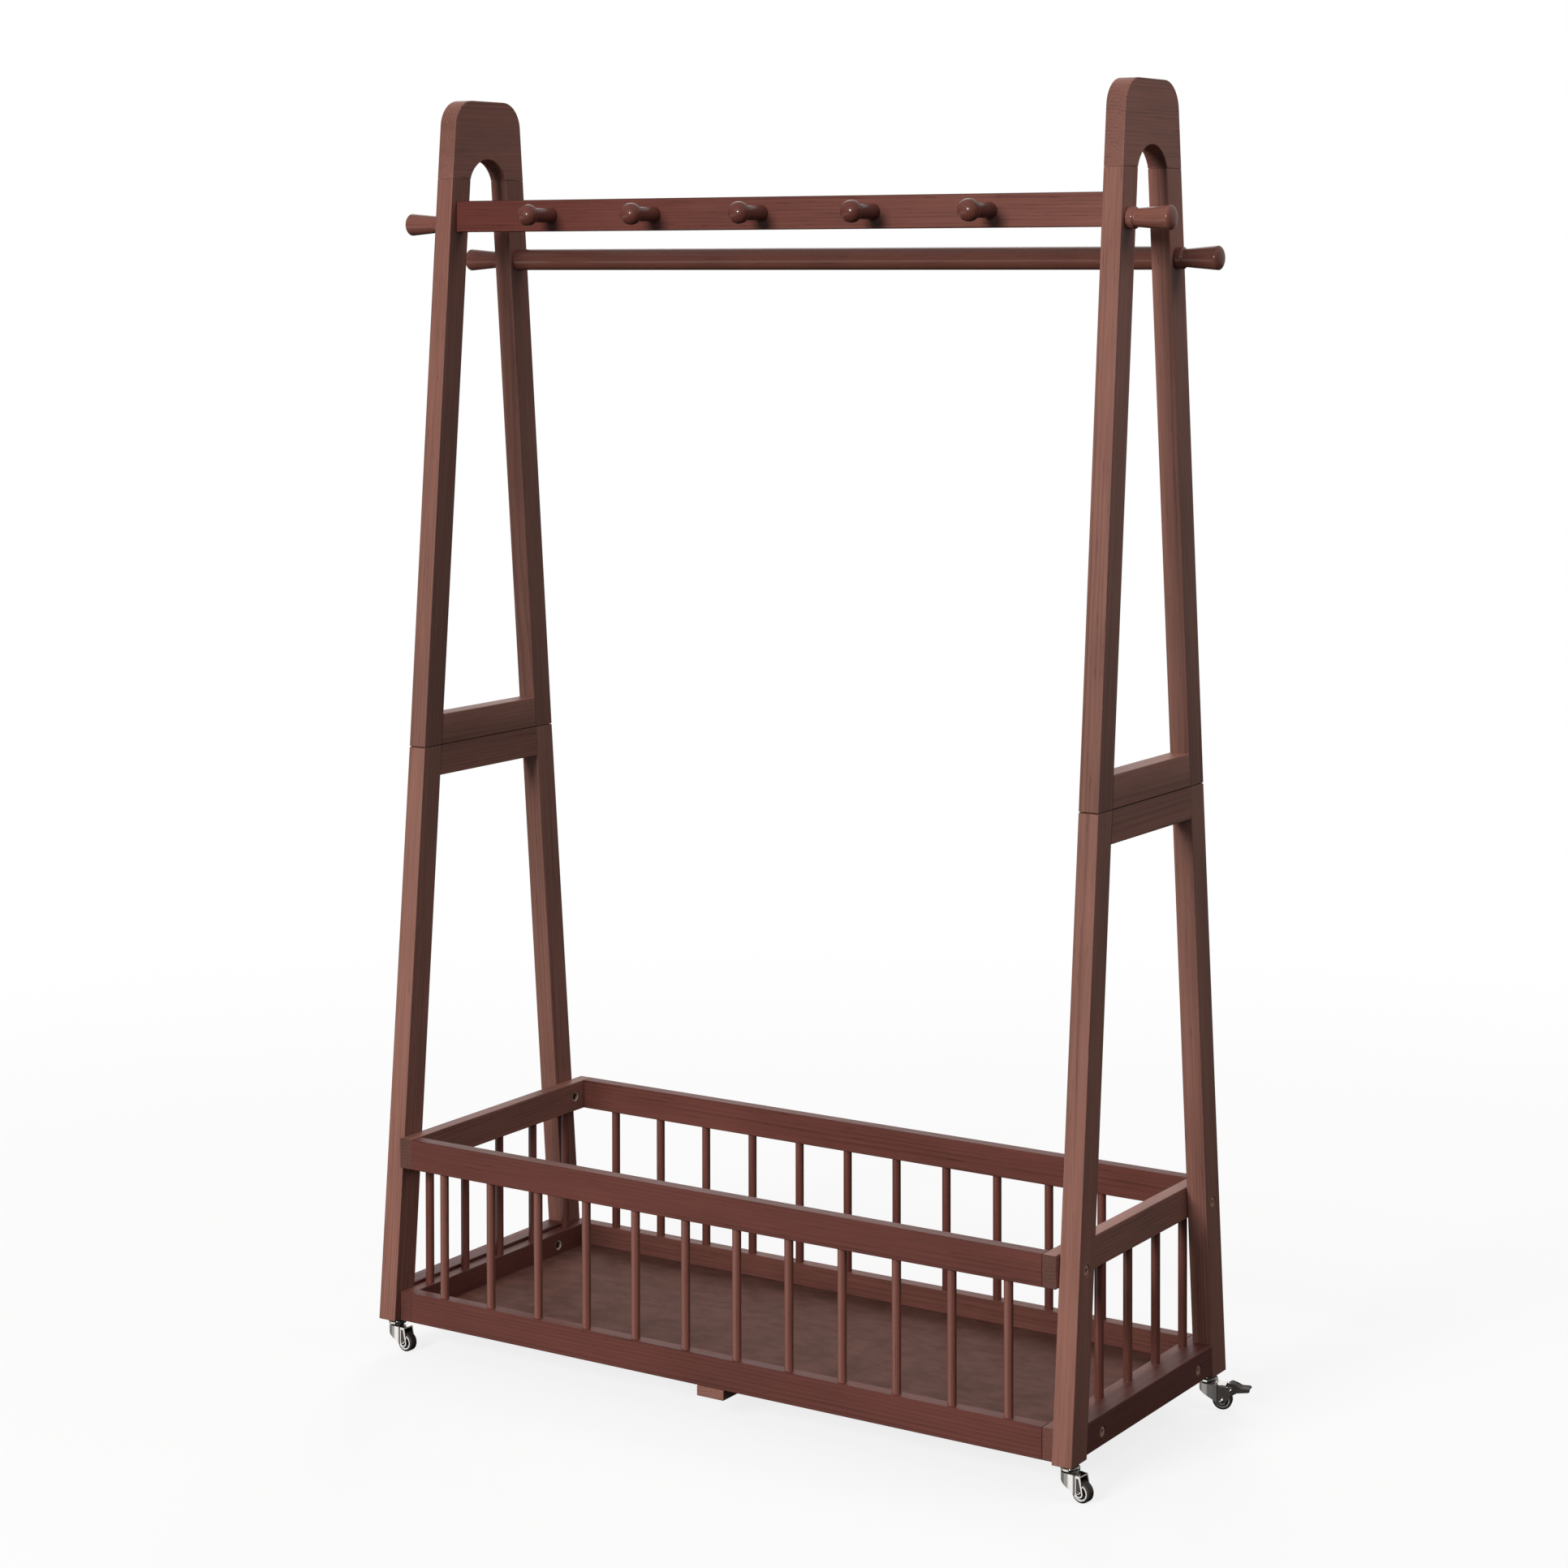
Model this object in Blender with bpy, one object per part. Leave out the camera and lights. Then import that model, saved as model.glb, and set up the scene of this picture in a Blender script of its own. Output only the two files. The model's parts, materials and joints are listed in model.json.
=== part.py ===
"""Rolling clothes rack in stained pine.

Two leaning end frames carry a hook board, a hanging rod and a spindle basket, and stand on four swivel
casters. X runs along the rack, the hooks face -Y, Z is up and the floor is z = 0. All sizes are metres.
"""

import math

import bmesh
import bpy
from mathutils import Matrix, Vector

# Whole rack
RACK_LENGTH = 1.000  # over the outer faces of the end frames
FRAME_HEIGHT = 1.565  # foot of the legs to the top of the head
FOOT_DEPTH = 0.4028  # over the legs at the foot
LEAN = 0.0863  # how far a leg leans in for each metre of height
GAP = 0.0003  # seat clearance between pieces that touch

# End frames
END_THICKNESS = 0.0256
LEG_WIDTH = 0.0378
EDGE = 0.001
JOINT_HEIGHT = 0.7268  # where the upper frame stands on the lower one, above the foot
JOINT_NOTCH = 0.004  # how far the outer corners are cut back at that joint
JOINT_EDGE = 0.0018
RAIL_HEIGHT = 0.0394
FOOT_RAIL_HEIGHT = 0.0356
FOOT_RAIL_LIFT = 0.0048
HEAD_HEIGHT = 0.1033  # glue line to the top of the head
HEAD_CORNER = 0.036
ARCH_RISE = 0.0266
ARCH_STEPS = 10
CORNER_STEPS = 5

# Hook board, rod and pegs
BOARD_HEIGHT = 0.0406
BOARD_THICKNESS = 0.015
BOARD_EDGE = 0.0015
BOARD_DOWEL_RISE = 0.0101  # above the middle of the board
BOARD_DROP = 0.1525  # top of the frame to the middle of the board
ROD_RADIUS = 0.014
ROD_DROP = 0.2085  # top of the frame to the middle of the rod
ROD_SIDES = 16
HOOK_COUNT = 5
HOOK_PITCH = 0.1605
HOOK_BALL = 0.0137
HOOK_REACH = 0.0489  # board face to the middle of the ball
HOOK_BASE = 0.0101
HOOK_STEM = 0.0092
HOOK_TAPER = 0.0147  # board face to where the stem is at its narrowest
BALL_STEPS = 7
TENON_RADIUS = 0.006
TENON_LENGTH = 0.010
PEG_LENGTH = 0.058
PEG_COLLAR = 0.013
PEG_COLLAR_LENGTH = 0.0085
PEG_GROOVE = 0.002
PEG_NECK = 0.0109
PEG_TIP = 0.0145
PEG_DOME = 0.005  # length of the rounded end
PEG_SIDES = 14
FRONT_PEG_DROP = 0.010  # below the middle of the hook board

# Basket
BASKET_INSET = 0.0059  # how much less deep than the feet it is, at the front and at the rear
BASKET_SETBACK = 0.0056  # its middle behind the middle of the end frames
BASKET_BOTTOM = -0.0011  # underside, above the foot
BASKET_TOP = 0.233
SLAT_WIDTH = 0.0177
TOP_SLAT_HEIGHT = 0.0382
BOTTOM_SLAT_HEIGHT = 0.0377
SPINDLE_RADIUS = 0.0055
SPINDLE_TENON = 0.0075
SPINDLE_SIDES = 10
FRONT_SPINDLES = 12
FRONT_PITCH = 0.0743
SIDE_SPINDLES = 5
SIDE_PITCH = 0.073
FLOOR_THICKNESS = 0.0092
REBATE = 0.006
BATTEN_WIDTH = 0.0387
BATTEN_HEIGHT = 0.0125
BATTEN_OFFSET = 0.004

# Dowels and bolts
DOWEL_RADIUS = 0.004
DOWEL_LENGTH = 0.010  # what stands out of the piece that it is glued in
TALL_DOWEL = 0.019  # the same at the joints that stand on each other
DOWEL_ROOT = 0.008
DOWEL_SPREAD = 0.0095
DOWEL_SIDES = 6
BOLT_HEAD = 0.0062
BOLT_HEAD_HEIGHT = 0.005
BOLT_SUNK = 0.001
BOLT_SHANK = 0.0027
BOLT_SIDES = 12
BOLT_BITE = 0.013  # in the basket's slat
SOCKET_RADIUS = 0.0027
SOCKET_DEPTH = 0.003
UPPER_BOLT_DROP = 0.019  # below the top of the basket
LOWER_BOLT_HEIGHT = 0.020  # above the foot
LOWER_BOLT_SPAN = 0.125
STUD_RADIUS = 0.003
STUD_BITE = 0.021  # in the board or the rod

# Casters
CASTER_HEIGHT = 0.042
CASTER_INSET = 0.022  # front or rear of the leg to the stem
TRAIL = 0.017
WHEEL_RADIUS = 0.012
WHEEL_WIDTH = 0.0118
WHEEL_SIDES = 16
HUB_RADIUS = 0.0092
HUB_DISH = 0.0014  # how far the hub's face is sunk at its rim
STEM_RADIUS = 0.0039
STEM_LENGTH = 0.028
RACE_RADIUS = 0.0112
RACE_HEIGHT = 0.0088
RACE_STEP = 0.002  # how much narrower its foot is
RACE_BEAD = 0.0042  # height of the bead round its foot
RACE_NECK = 0.0018
STEM_SIDES = 12
PIN_RADIUS = 0.0033
PIN_HEAD = 0.002  # how far the pin's head stands out, and its height
FORK_WIDTH = 0.0168
FORK_WALL = 0.0015
FORK_FRONT = 0.0115
FORK_REAR = 0.018
FORK_SKIRT = 0.0225  # height of the front wall's lower corner
FORK_CUTS = (-1, -0.6, 0, 0.6, 1)  # where its round front is cut, as shares of half its width
ARM_RADIUS = 0.005
AXLE_RADIUS = 0.0022
RIVET_LIP = 0.0006
RIVET_RISE = 0.0018
RIVET_SHOULDER = (0.7, 0.8)  # share of a head's radius and rise where its dome bends
RIVET_SIDES = 8
LEVER_PIN = 0.0014
LEVER_BEHIND = 0.0108  # lever pivot behind the axle
LEVER_ABOVE = 0.0136  # and above it
LEVER_REACH = 0.0227  # pivot to the end of the tab
LEVER_WIDTH = 0.016
LEVER_END = 0.93  # size of its end faces beside its section
EAR_RADIUS = 0.0037
BRAKE_PLATE = 0.022
CASTER_HEADINGS = {"front_left": -4, "front_right": -7, "rear_left": 9, "rear_right": 16}

FOOT = CASTER_HEIGHT
JOINT = FOOT + JOINT_HEIGHT
TOP = FOOT + FRAME_HEIGHT
GLUE_LINE = TOP - HEAD_HEIGHT
BOARD_LEVEL = TOP - BOARD_DROP
ROD_LEVEL = TOP - ROD_DROP
OUTER_X = RACK_LENGTH / 2
INNER_X = OUTER_X - END_THICKNESS
MIDDLE_X = OUTER_X - END_THICKNESS / 2
BETWEEN_X = INNER_X - GAP  # half the room between the end frames
BASKET_FRONT = BASKET_SETBACK - FOOT_DEPTH / 2 + BASKET_INSET
BASKET_REAR = BASKET_SETBACK + FOOT_DEPTH / 2 - BASKET_INSET
SIDES = {"left": -1, "right": 1}
WAYS = {"front": -1, "rear": 1}

drilled = {}  # target object's name -> shapes to cut from it
glued = {}  # target object's name -> shapes to join to it


# Shapes: a shape is a list of corners and a list of faces
def loft(rings, closed=False):
    """Skin a row of rings that have equally many corners, capped at both ends or closed on itself."""
    count = len(rings[0])
    corners = [Vector(point) for ring in rings for point in ring]
    faces = []
    for row in range(len(rings) if closed else len(rings) - 1):
        below = row * count
        above = (row + 1) % len(rings) * count
        for i in range(count):
            j = (i + 1) % count
            faces.append((below + i, below + j, above + j, above + i))
    if not closed:
        faces.append(tuple(reversed(range(count))))
        faces.append(tuple(range(len(corners) - count, len(corners))))
    return corners, faces


def lathe(profile, sides, closed=False):
    """Turn (radius, height) pairs round Z: a solid whose ends lie on the axis, or a ring when closed.

    A flat side faces -Y, and radii run to the corners.
    """
    start = -math.pi / 2 + math.pi / sides
    turns = [start + 2 * math.pi * i / sides for i in range(sides)]
    rings = [[(r * math.cos(a), r * math.sin(a), h) for a in turns] for r, h in profile]
    if closed:
        return loft(rings, True)
    corners, faces = loft(rings[1:-1])
    ends = faces[-2:]
    del faces[-2:]
    for (_, height), end in zip((profile[0], profile[-1]), ends):
        if abs(height - corners[end[0]].z) < 1e-9:
            faces.append(end)
            continue
        corners.append(Vector((0, 0, height)))
        faces += [(end[i - 1], end[i], len(corners) - 1) for i in range(sides)]
    return corners, faces


def rod(radius, low, high, sides):
    """Plain round bar along Z."""
    return lathe([(0, low), (radius, low), (radius, high), (0, high)], sides)


def clear_of(radius, sides):
    """Radius to the corners of a hole whose flat sides keep the seat clearance to a round piece."""
    return (radius + GAP) / math.cos(math.pi / sides)


def block(low, high, along, edge=EDGE, end_edge=0.0):
    """Square bar between two corners, with its long edges chamfered; along is the long axis, 0 to 2."""
    a, b = [axis for axis in range(3) if axis != along]

    def section(at, inset):
        a0, a1 = low[a] + inset, high[a] - inset
        b0, b1 = low[b] + inset, high[b] - inset
        ring = []
        for p, q in (
            (a0 + edge, b0), (a1 - edge, b0), (a1, b0 + edge), (a1, b1 - edge),
            (a1 - edge, b1), (a0 + edge, b1), (a0, b1 - edge), (a0, b0 + edge),
        ):
            point = Vector()
            point[along], point[a], point[b] = at, p, q
            ring.append(point)
        return ring

    stops = [(low[along], end_edge), (high[along], end_edge)]
    if end_edge:
        stops[1:1] = [(low[along] + end_edge, 0), (high[along] - end_edge, 0)]
    return loft([section(at, inset) for at, inset in stops])


def moved(shape, matrix):
    return [matrix @ corner for corner in shape[0]], shape[1]


def merged(shapes):
    """Several shapes as one list of corners and faces, still separate solids."""
    corners, faces = [], []
    for points, polygons in shapes:
        faces += [tuple(len(corners) + i for i in face) for face in polygons]
        corners += points
    return corners, faces


def at(x, y, z):
    return Matrix.Translation((x, y, z))


def along_x(x, y, z, way=1):
    """Places a shape turned round Z so that its axis runs along X from a point, way +1 or -1."""
    return at(x, y, z) @ Matrix.Rotation(way * math.pi / 2, 4, "Y")


def along_y(x, y, z, way=1):
    return at(x, y, z) @ Matrix.Rotation(-way * math.pi / 2, 4, "X")


# Objects
def linear(hexadecimal):
    """sRGB hex colour as linear values."""
    values = [int(hexadecimal[i : i + 2], 16) / 255 for i in (0, 2, 4)]
    return [v / 12.92 if v <= 0.04045 else ((v + 0.055) / 1.055) ** 2.4 for v in values]


def material(name, colour, roughness, metallic=0.0):
    made = bpy.data.materials.new(name)
    made.use_nodes = True
    shader = made.node_tree.nodes["Principled BSDF"]
    shader.inputs["Base Color"].default_value = (*linear(colour), 1)
    shader.inputs["Roughness"].default_value = roughness
    shader.inputs["Metallic"].default_value = metallic
    return made


def mesh_of(name, shape):
    mesh = bpy.data.meshes.new(name)
    mesh.from_pydata(shape[0], [], shape[1])
    skin = bmesh.new()
    skin.from_mesh(mesh)
    bmesh.ops.recalc_face_normals(skin, faces=skin.faces)
    skin.to_mesh(mesh)
    skin.free()
    mesh.shade_smooth()
    mesh.set_sharp_from_angle(angle=math.radians(35))
    return mesh


def piece(name, shape, finish, parent=None, origin=(0, 0, 0)):
    """One named sub-part; origin is where its mesh's own zero lies, in its parent's frame."""
    made = bpy.data.objects.new(name, mesh_of(name, shape))
    made.location = origin
    made.parent = parent
    made.data.materials.append(finish)
    bpy.context.collection.objects.link(made)
    return made


def modify(target, shape, operation="DIFFERENCE", parent=None):
    """Cut a hidden shape from a piece, or join it to the piece."""
    tool = bpy.data.objects.new(f"tool_{target.name}_{len(target.modifiers)}", mesh_of("tool", shape))
    tool.parent = parent
    tool.hide_render = True
    tool.display_type = "WIRE"
    bpy.context.collection.objects.link(tool)
    step = target.modifiers.new(operation.title(), "BOOLEAN")
    step.operation = operation
    step.solver = "EXACT"
    step.object = tool


def drill(shape, *targets):
    """Note a hole that goes through the named pieces."""
    for target in targets:
        drilled.setdefault(target, []).append(shape)


def half_depth(height):
    """Middle of the end frame to the outer line of its legs, at a height over the floor."""
    return FOOT_DEPTH / 2 - LEAN * (height - FOOT)


def leg_middle(height):
    return half_depth(height) - LEG_WIDTH / 2


def leg_inside(height):
    return half_depth(height) - LEG_WIDTH


def add_dowel(place, holder, receiver, length=DOWEL_LENGTH):
    """A dowel whose local Z leaves the piece that holds it and enters the one that receives it."""
    glued.setdefault(holder, []).append(moved(rod(DOWEL_RADIUS, -DOWEL_ROOT, length, DOWEL_SIDES), place))
    hole = rod(clear_of(DOWEL_RADIUS, DOWEL_SIDES), -GAP, length + GAP, DOWEL_SIDES)
    drill(moved(hole, place), receiver)


def make_leg(name, side, way, low, high, notch_low, notch_high, finish):
    """A leaning leg between two heights; a notched end has its outer corner cut back further."""

    def section(height, inset, outer_inset):
        outer = half_depth(height) - outer_inset
        inner = leg_inside(height) + inset
        x0, x1 = INNER_X + inset, OUTER_X - inset
        ring = [
            (x0 + EDGE, inner), (x1 - EDGE, inner), (x1, inner + EDGE), (x1, outer - EDGE),
            (x1 - EDGE, outer), (x0 + EDGE, outer), (x0, outer - EDGE), (x0, inner + EDGE),
        ]
        return [(side * x, way * y, height) for x, y in ring]

    rings = [
        section(low, EDGE, JOINT_NOTCH if notch_low else EDGE),
        section(low + (JOINT_EDGE if notch_low else EDGE), 0, 0),
        section(high - (JOINT_EDGE if notch_high else EDGE), 0, 0),
        section(high, EDGE, JOINT_NOTCH if notch_high else EDGE),
    ]
    return piece(name, loft(rings), finish)


def make_rail(name, side, low, high, finish):
    """A rail between two legs, whose ends follow the legs' inner lines."""

    def section(height, inset):
        y = leg_inside(height) - GAP
        x0, x1 = INNER_X + inset, OUTER_X - inset
        plan = ((x0, -y), (x1, -y), (x1, y), (x0, y))
        return [(side * x, across, height) for x, across in plan]

    stops = ((low, EDGE), (low + EDGE, 0), (high - EDGE, 0), (high, EDGE))
    return piece(name, loft([section(height, inset) for height, inset in stops]), finish)


def rail_dowels(end, side, rail, legs, low, high):
    """Two dowels at each end of a rail, one above the other."""
    for way_name, way in WAYS.items():
        for offset in (-DOWEL_SPREAD, DOWEL_SPREAD):
            height = (low + high) / 2 + offset
            place = along_y(side * MIDDLE_X, way * leg_inside(height), height, way)
            add_dowel(place, f"{end}_{rail}", f"{end}_{legs}_{way_name}_leg")


def corner_arc(before, corner, after, radius, steps):
    """Points of a round corner between two straight lines."""
    back = (before - corner).normalized()
    on = (after - corner).normalized()
    half = math.acos(max(-1, min(1, back.dot(on)))) / 2
    centre = corner + (back + on).normalized() * radius / math.sin(half)
    start = corner + back * radius / math.tan(half) - centre
    turn = start.angle_signed(corner + on * radius / math.tan(half) - centre)
    points = []
    for i in range(steps + 1):
        points.append(centre + Matrix.Rotation(-turn * i / steps, 2) @ start)
    return points


def head_outline():
    """The head seen along X, as (y, z) points over the top from the front and back under the arch."""
    foot = half_depth(GLUE_LINE)
    tip = half_depth(TOP)
    front = [Vector((-foot, GLUE_LINE)), Vector((-tip, TOP)), Vector((tip, TOP)), Vector((foot, GLUE_LINE))]
    outline = [front[0]]
    outline += corner_arc(front[0], front[1], front[2], HEAD_CORNER, CORNER_STEPS)
    outline += corner_arc(front[1], front[2], front[3], HEAD_CORNER, CORNER_STEPS)
    outline.append(front[3])
    spring = leg_inside(GLUE_LINE)
    radius = (spring**2 + ARCH_RISE**2) / (2 * ARCH_RISE)
    reach = math.asin(min(1.0, spring / radius))
    middle = GLUE_LINE + ARCH_RISE - radius
    for i in range(ARCH_STEPS + 1):
        a = reach * (1 - 2 * i / ARCH_STEPS)
        outline.append(Vector((radius * math.sin(a), middle + radius * math.cos(a))))
    return outline


def make_head(name, side, finish):
    outline = head_outline()
    count = len(outline)

    def inset_outline(inset):
        ring = []
        for i, point in enumerate(outline):
            step = outline[(i + 1) % count] - outline[i - 1]
            inward = Vector((step.y, -step.x)).normalized() * inset
            on_glue = abs(point.y - GLUE_LINE) < 1e-9
            if on_glue:
                inward = Vector((math.copysign(inset, inward.x), 0))
            ring.append(point + inward)
        return ring

    rings = []
    for x, inset in ((INNER_X, EDGE), (INNER_X + EDGE, 0), (OUTER_X - EDGE, 0), (OUTER_X, EDGE)):
        rings.append([(side * x, p.x, p.y) for p in inset_outline(inset)])
    return piece(name, loft(rings), finish)


def make_end_frame(end, side, wood):
    """The eight pieces of one end and the holes for their dowels."""
    lower_top = JOINT - RAIL_HEIGHT
    for way_name, way in WAYS.items():
        make_leg(f"{end}_lower_{way_name}_leg", side, way, FOOT, JOINT - GAP, False, True, wood)
        make_leg(f"{end}_upper_{way_name}_leg", side, way, JOINT, GLUE_LINE - GAP, True, False, wood)
    make_rail(f"{end}_foot_rail", side, FOOT + FOOT_RAIL_LIFT, FOOT + FOOT_RAIL_LIFT + FOOT_RAIL_HEIGHT, wood)
    make_rail(f"{end}_lower_top_rail", side, lower_top, JOINT - GAP, wood)
    make_rail(f"{end}_upper_rail", side, JOINT, JOINT + RAIL_HEIGHT, wood)
    make_head(f"{end}_head", side, wood)
    foot_rail = FOOT + FOOT_RAIL_LIFT
    rail_dowels(end, side, "foot_rail", "lower", foot_rail, foot_rail + FOOT_RAIL_HEIGHT)
    rail_dowels(end, side, "lower_top_rail", "lower", lower_top, JOINT)
    rail_dowels(end, side, "upper_rail", "upper", JOINT, JOINT + RAIL_HEIGHT)
    for way_name, way in WAYS.items():
        upper = f"{end}_upper_{way_name}_leg"
        joint = at(side * MIDDLE_X, way * leg_middle(JOINT), JOINT)
        add_dowel(joint, f"{end}_lower_{way_name}_leg", upper, TALL_DOWEL)
        glue = at(side * MIDDLE_X, way * leg_middle(GLUE_LINE), GLUE_LINE)
        add_dowel(glue, upper, f"{end}_head", TALL_DOWEL)


def make_board_and_rod(board_wood, rod_wood):
    """Hook board on the front legs' line, hanging rod on the rear legs' line."""
    board_y = -leg_middle(BOARD_LEVEL)
    low = (-BETWEEN_X, board_y - BOARD_THICKNESS / 2, BOARD_LEVEL - BOARD_HEIGHT / 2)
    high = (BETWEEN_X, board_y + BOARD_THICKNESS / 2, BOARD_LEVEL + BOARD_HEIGHT / 2)
    piece("hook_board", block(low, high, 0, edge=BOARD_EDGE), board_wood)
    bar = rod(ROD_RADIUS, -BETWEEN_X, BETWEEN_X, ROD_SIDES)
    piece("hanging_rod", moved(bar, along_x(0, leg_middle(ROD_LEVEL), ROD_LEVEL)), rod_wood)
    for end, side in SIDES.items():
        place = along_x(side * INNER_X, board_y, BOARD_LEVEL + BOARD_DOWEL_RISE, side)
        add_dowel(place, "hook_board", f"{end}_upper_front_leg")


def hook_profile():
    """Tenon, tapering stem and ball, as (radius, height over the board's face)."""
    profile = [(0, -TENON_LENGTH), (TENON_RADIUS, -TENON_LENGTH), (TENON_RADIUS, GAP), (HOOK_BASE, GAP)]
    profile += [(HOOK_STEM, HOOK_TAPER)]
    meeting = math.asin(HOOK_STEM / HOOK_BALL)
    for i in range(BALL_STEPS):
        a = meeting + (math.pi - meeting) * i / BALL_STEPS
        profile.append((HOOK_BALL * math.sin(a), HOOK_REACH - HOOK_BALL * math.cos(a)))
    return profile + [(0, HOOK_REACH + HOOK_BALL)]


def peg_profile():
    """Outer peg on its glued stud: collar, groove, flaring neck and domed end, heights from its seat."""
    stud_end = -END_THICKNESS - 2 * GAP - STUD_BITE
    return [
        (0, stud_end), (STUD_RADIUS, stud_end), (STUD_RADIUS, 0), (PEG_COLLAR - 2 * EDGE, 0),
        (PEG_COLLAR, 3 * EDGE), (PEG_COLLAR - EDGE / 2, PEG_COLLAR_LENGTH),
        (PEG_NECK, PEG_COLLAR_LENGTH + PEG_GROOVE), (PEG_TIP, PEG_LENGTH - PEG_DOME),
        (PEG_TIP - EDGE, PEG_LENGTH - PEG_DOME / 3), (PEG_TIP * 0.6, PEG_LENGTH - GAP), (0, PEG_LENGTH),
    ]


def make_pegs(wood):
    face = -leg_middle(BOARD_LEVEL) - BOARD_THICKNESS / 2
    for i in range(HOOK_COUNT):
        x = (i - (HOOK_COUNT - 1) / 2) * HOOK_PITCH
        place = (x, face, BOARD_LEVEL)
        peg = piece(f"hook_peg_{i + 1}", lathe(hook_profile(), PEG_SIDES), wood, origin=place)
        peg.rotation_euler = (math.pi / 2, 0, 0)
        hole = rod(clear_of(TENON_RADIUS, PEG_SIDES), -TENON_LENGTH - GAP, GAP, PEG_SIDES)
        drill(moved(hole, along_y(x, face, BOARD_LEVEL, -1)), "hook_board")
    heights = {"front": BOARD_LEVEL - FRONT_PEG_DROP, "rear": ROD_LEVEL}
    carried = {"front": "hook_board", "rear": "hanging_rod"}
    for end, side in SIDES.items():
        for way_name, way in WAYS.items():
            height = heights[way_name]
            y = way * leg_middle(BOARD_LEVEL if way_name == "front" else ROD_LEVEL)
            peg = piece(
                f"{end}_{way_name}_peg", lathe(peg_profile(), PEG_SIDES), wood,
                origin=(side * (OUTER_X + GAP), y, height),
            )
            peg.rotation_euler = (0, side * math.pi / 2, 0)
            depth = END_THICKNESS + STUD_BITE + 2 * GAP
            hole = rod(clear_of(STUD_RADIUS, BOLT_SIDES), -GAP, depth, BOLT_SIDES)
            place = along_x(side * OUTER_X, y, height, -side)
            drill(moved(hole, place), f"{end}_upper_{way_name}_leg", carried[way_name])


def spindle_rows():
    """Where the spindles stand: row name -> (x, y) places."""
    front = [(i - (FRONT_SPINDLES - 1) / 2) * FRONT_PITCH for i in range(FRONT_SPINDLES)]
    side = [BASKET_SETBACK + (i - (SIDE_SPINDLES - 1) / 2) * SIDE_PITCH for i in range(SIDE_SPINDLES)]
    rows = {"front": [(x, BASKET_FRONT + SLAT_WIDTH / 2) for x in front]}
    rows["rear"] = [(x, BASKET_REAR - SLAT_WIDTH / 2) for x in front]
    rows["left"] = [(SLAT_WIDTH / 2 - BETWEEN_X, y) for y in side]
    rows["right"] = [(BETWEEN_X - SLAT_WIDTH / 2, y) for y in side]
    return rows


def make_basket(wood, floor_wood):
    """Four top slats, four bottom slats, the spindles between them, the floor and its batten."""
    bottom, top = FOOT + BASKET_BOTTOM, FOOT + BASKET_TOP
    low_top = bottom + BOTTOM_SLAT_HEIGHT
    high_bottom = top - TOP_SLAT_HEIGHT
    floor_top = bottom + FLOOR_THICKNESS
    slat_x = BETWEEN_X - SLAT_WIDTH - GAP
    fronts = {"front": (BASKET_FRONT, 1), "rear": (BASKET_REAR, -1)}
    for end, side in SIDES.items():
        x = sorted((side * BETWEEN_X, side * (BETWEEN_X - SLAT_WIDTH)))
        for name, low, high in (("top", high_bottom, top), ("spindle", bottom, low_top)):
            shape = block((x[0], BASKET_FRONT, low), (x[1], BASKET_REAR, high), 1, end_edge=EDGE)
            piece(f"basket_{end}_{name}_slat", shape, wood)
    for way_name, (outside, inward) in fronts.items():
        y = sorted((outside, outside + inward * SLAT_WIDTH))
        shape = block((-slat_x, y[0], high_bottom), (slat_x, y[1], top), 0)
        piece(f"basket_{way_name}_top_slat", shape, wood)
        step = outside + inward * (SLAT_WIDTH - REBATE)
        inside = outside + inward * SLAT_WIDTH
        edge = inward * EDGE
        section = [
            (outside + edge, bottom), (step, bottom), (step, floor_top + GAP), (inside, floor_top + GAP),
            (inside, low_top - EDGE), (inside - edge, low_top), (outside + edge, low_top),
            (outside, low_top - EDGE), (outside, bottom + EDGE),
        ]
        rings = [[(x, a, b) for a, b in section] for x in (-slat_x, slat_x)]
        piece(f"basket_{way_name}_spindle_slat", loft(rings), wood)
    margin = SLAT_WIDTH - REBATE + GAP
    low, high = (-slat_x, BASKET_FRONT + margin, bottom), (slat_x, BASKET_REAR - margin, floor_top)
    panel = block(low, high, 0, edge=EDGE / 2)
    piece("basket_floor", panel, floor_wood)
    x0, x1 = BATTEN_OFFSET - BATTEN_WIDTH / 2, BATTEN_OFFSET + BATTEN_WIDTH / 2
    batten_top = bottom - GAP
    low, high = (x0, BASKET_FRONT, batten_top - BATTEN_HEIGHT), (x1, BASKET_REAR, batten_top)
    batten = block(low, high, 1, end_edge=EDGE)
    piece("batten", batten, wood)
    for row, places in spindle_rows().items():
        high = high_bottom + SPINDLE_TENON
        for x, y in places:
            bar = rod(SPINDLE_RADIUS, low_top - SPINDLE_TENON, high, SPINDLE_SIDES)
            glued.setdefault(f"basket_{row}_spindle_slat", []).append(moved(bar, at(x, y, 0)))
            hole = rod(clear_of(SPINDLE_RADIUS, DOWEL_SIDES), high_bottom - GAP, high + GAP, DOWEL_SIDES)
            drill(moved(hole, at(x, y, 0)), f"basket_{row}_top_slat")
    for end, side in SIDES.items():
        for way_name, (outside, inward) in fronts.items():
            y = outside + inward * SLAT_WIDTH / 2
            for name, z in (("top", (high_bottom + top) / 2), ("spindle", (bottom + low_top) / 2)):
                place = along_x(side * slat_x, y, z, side)
                add_dowel(place, f"basket_{way_name}_{name}_slat", f"basket_{end}_{name}_slat")


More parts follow.
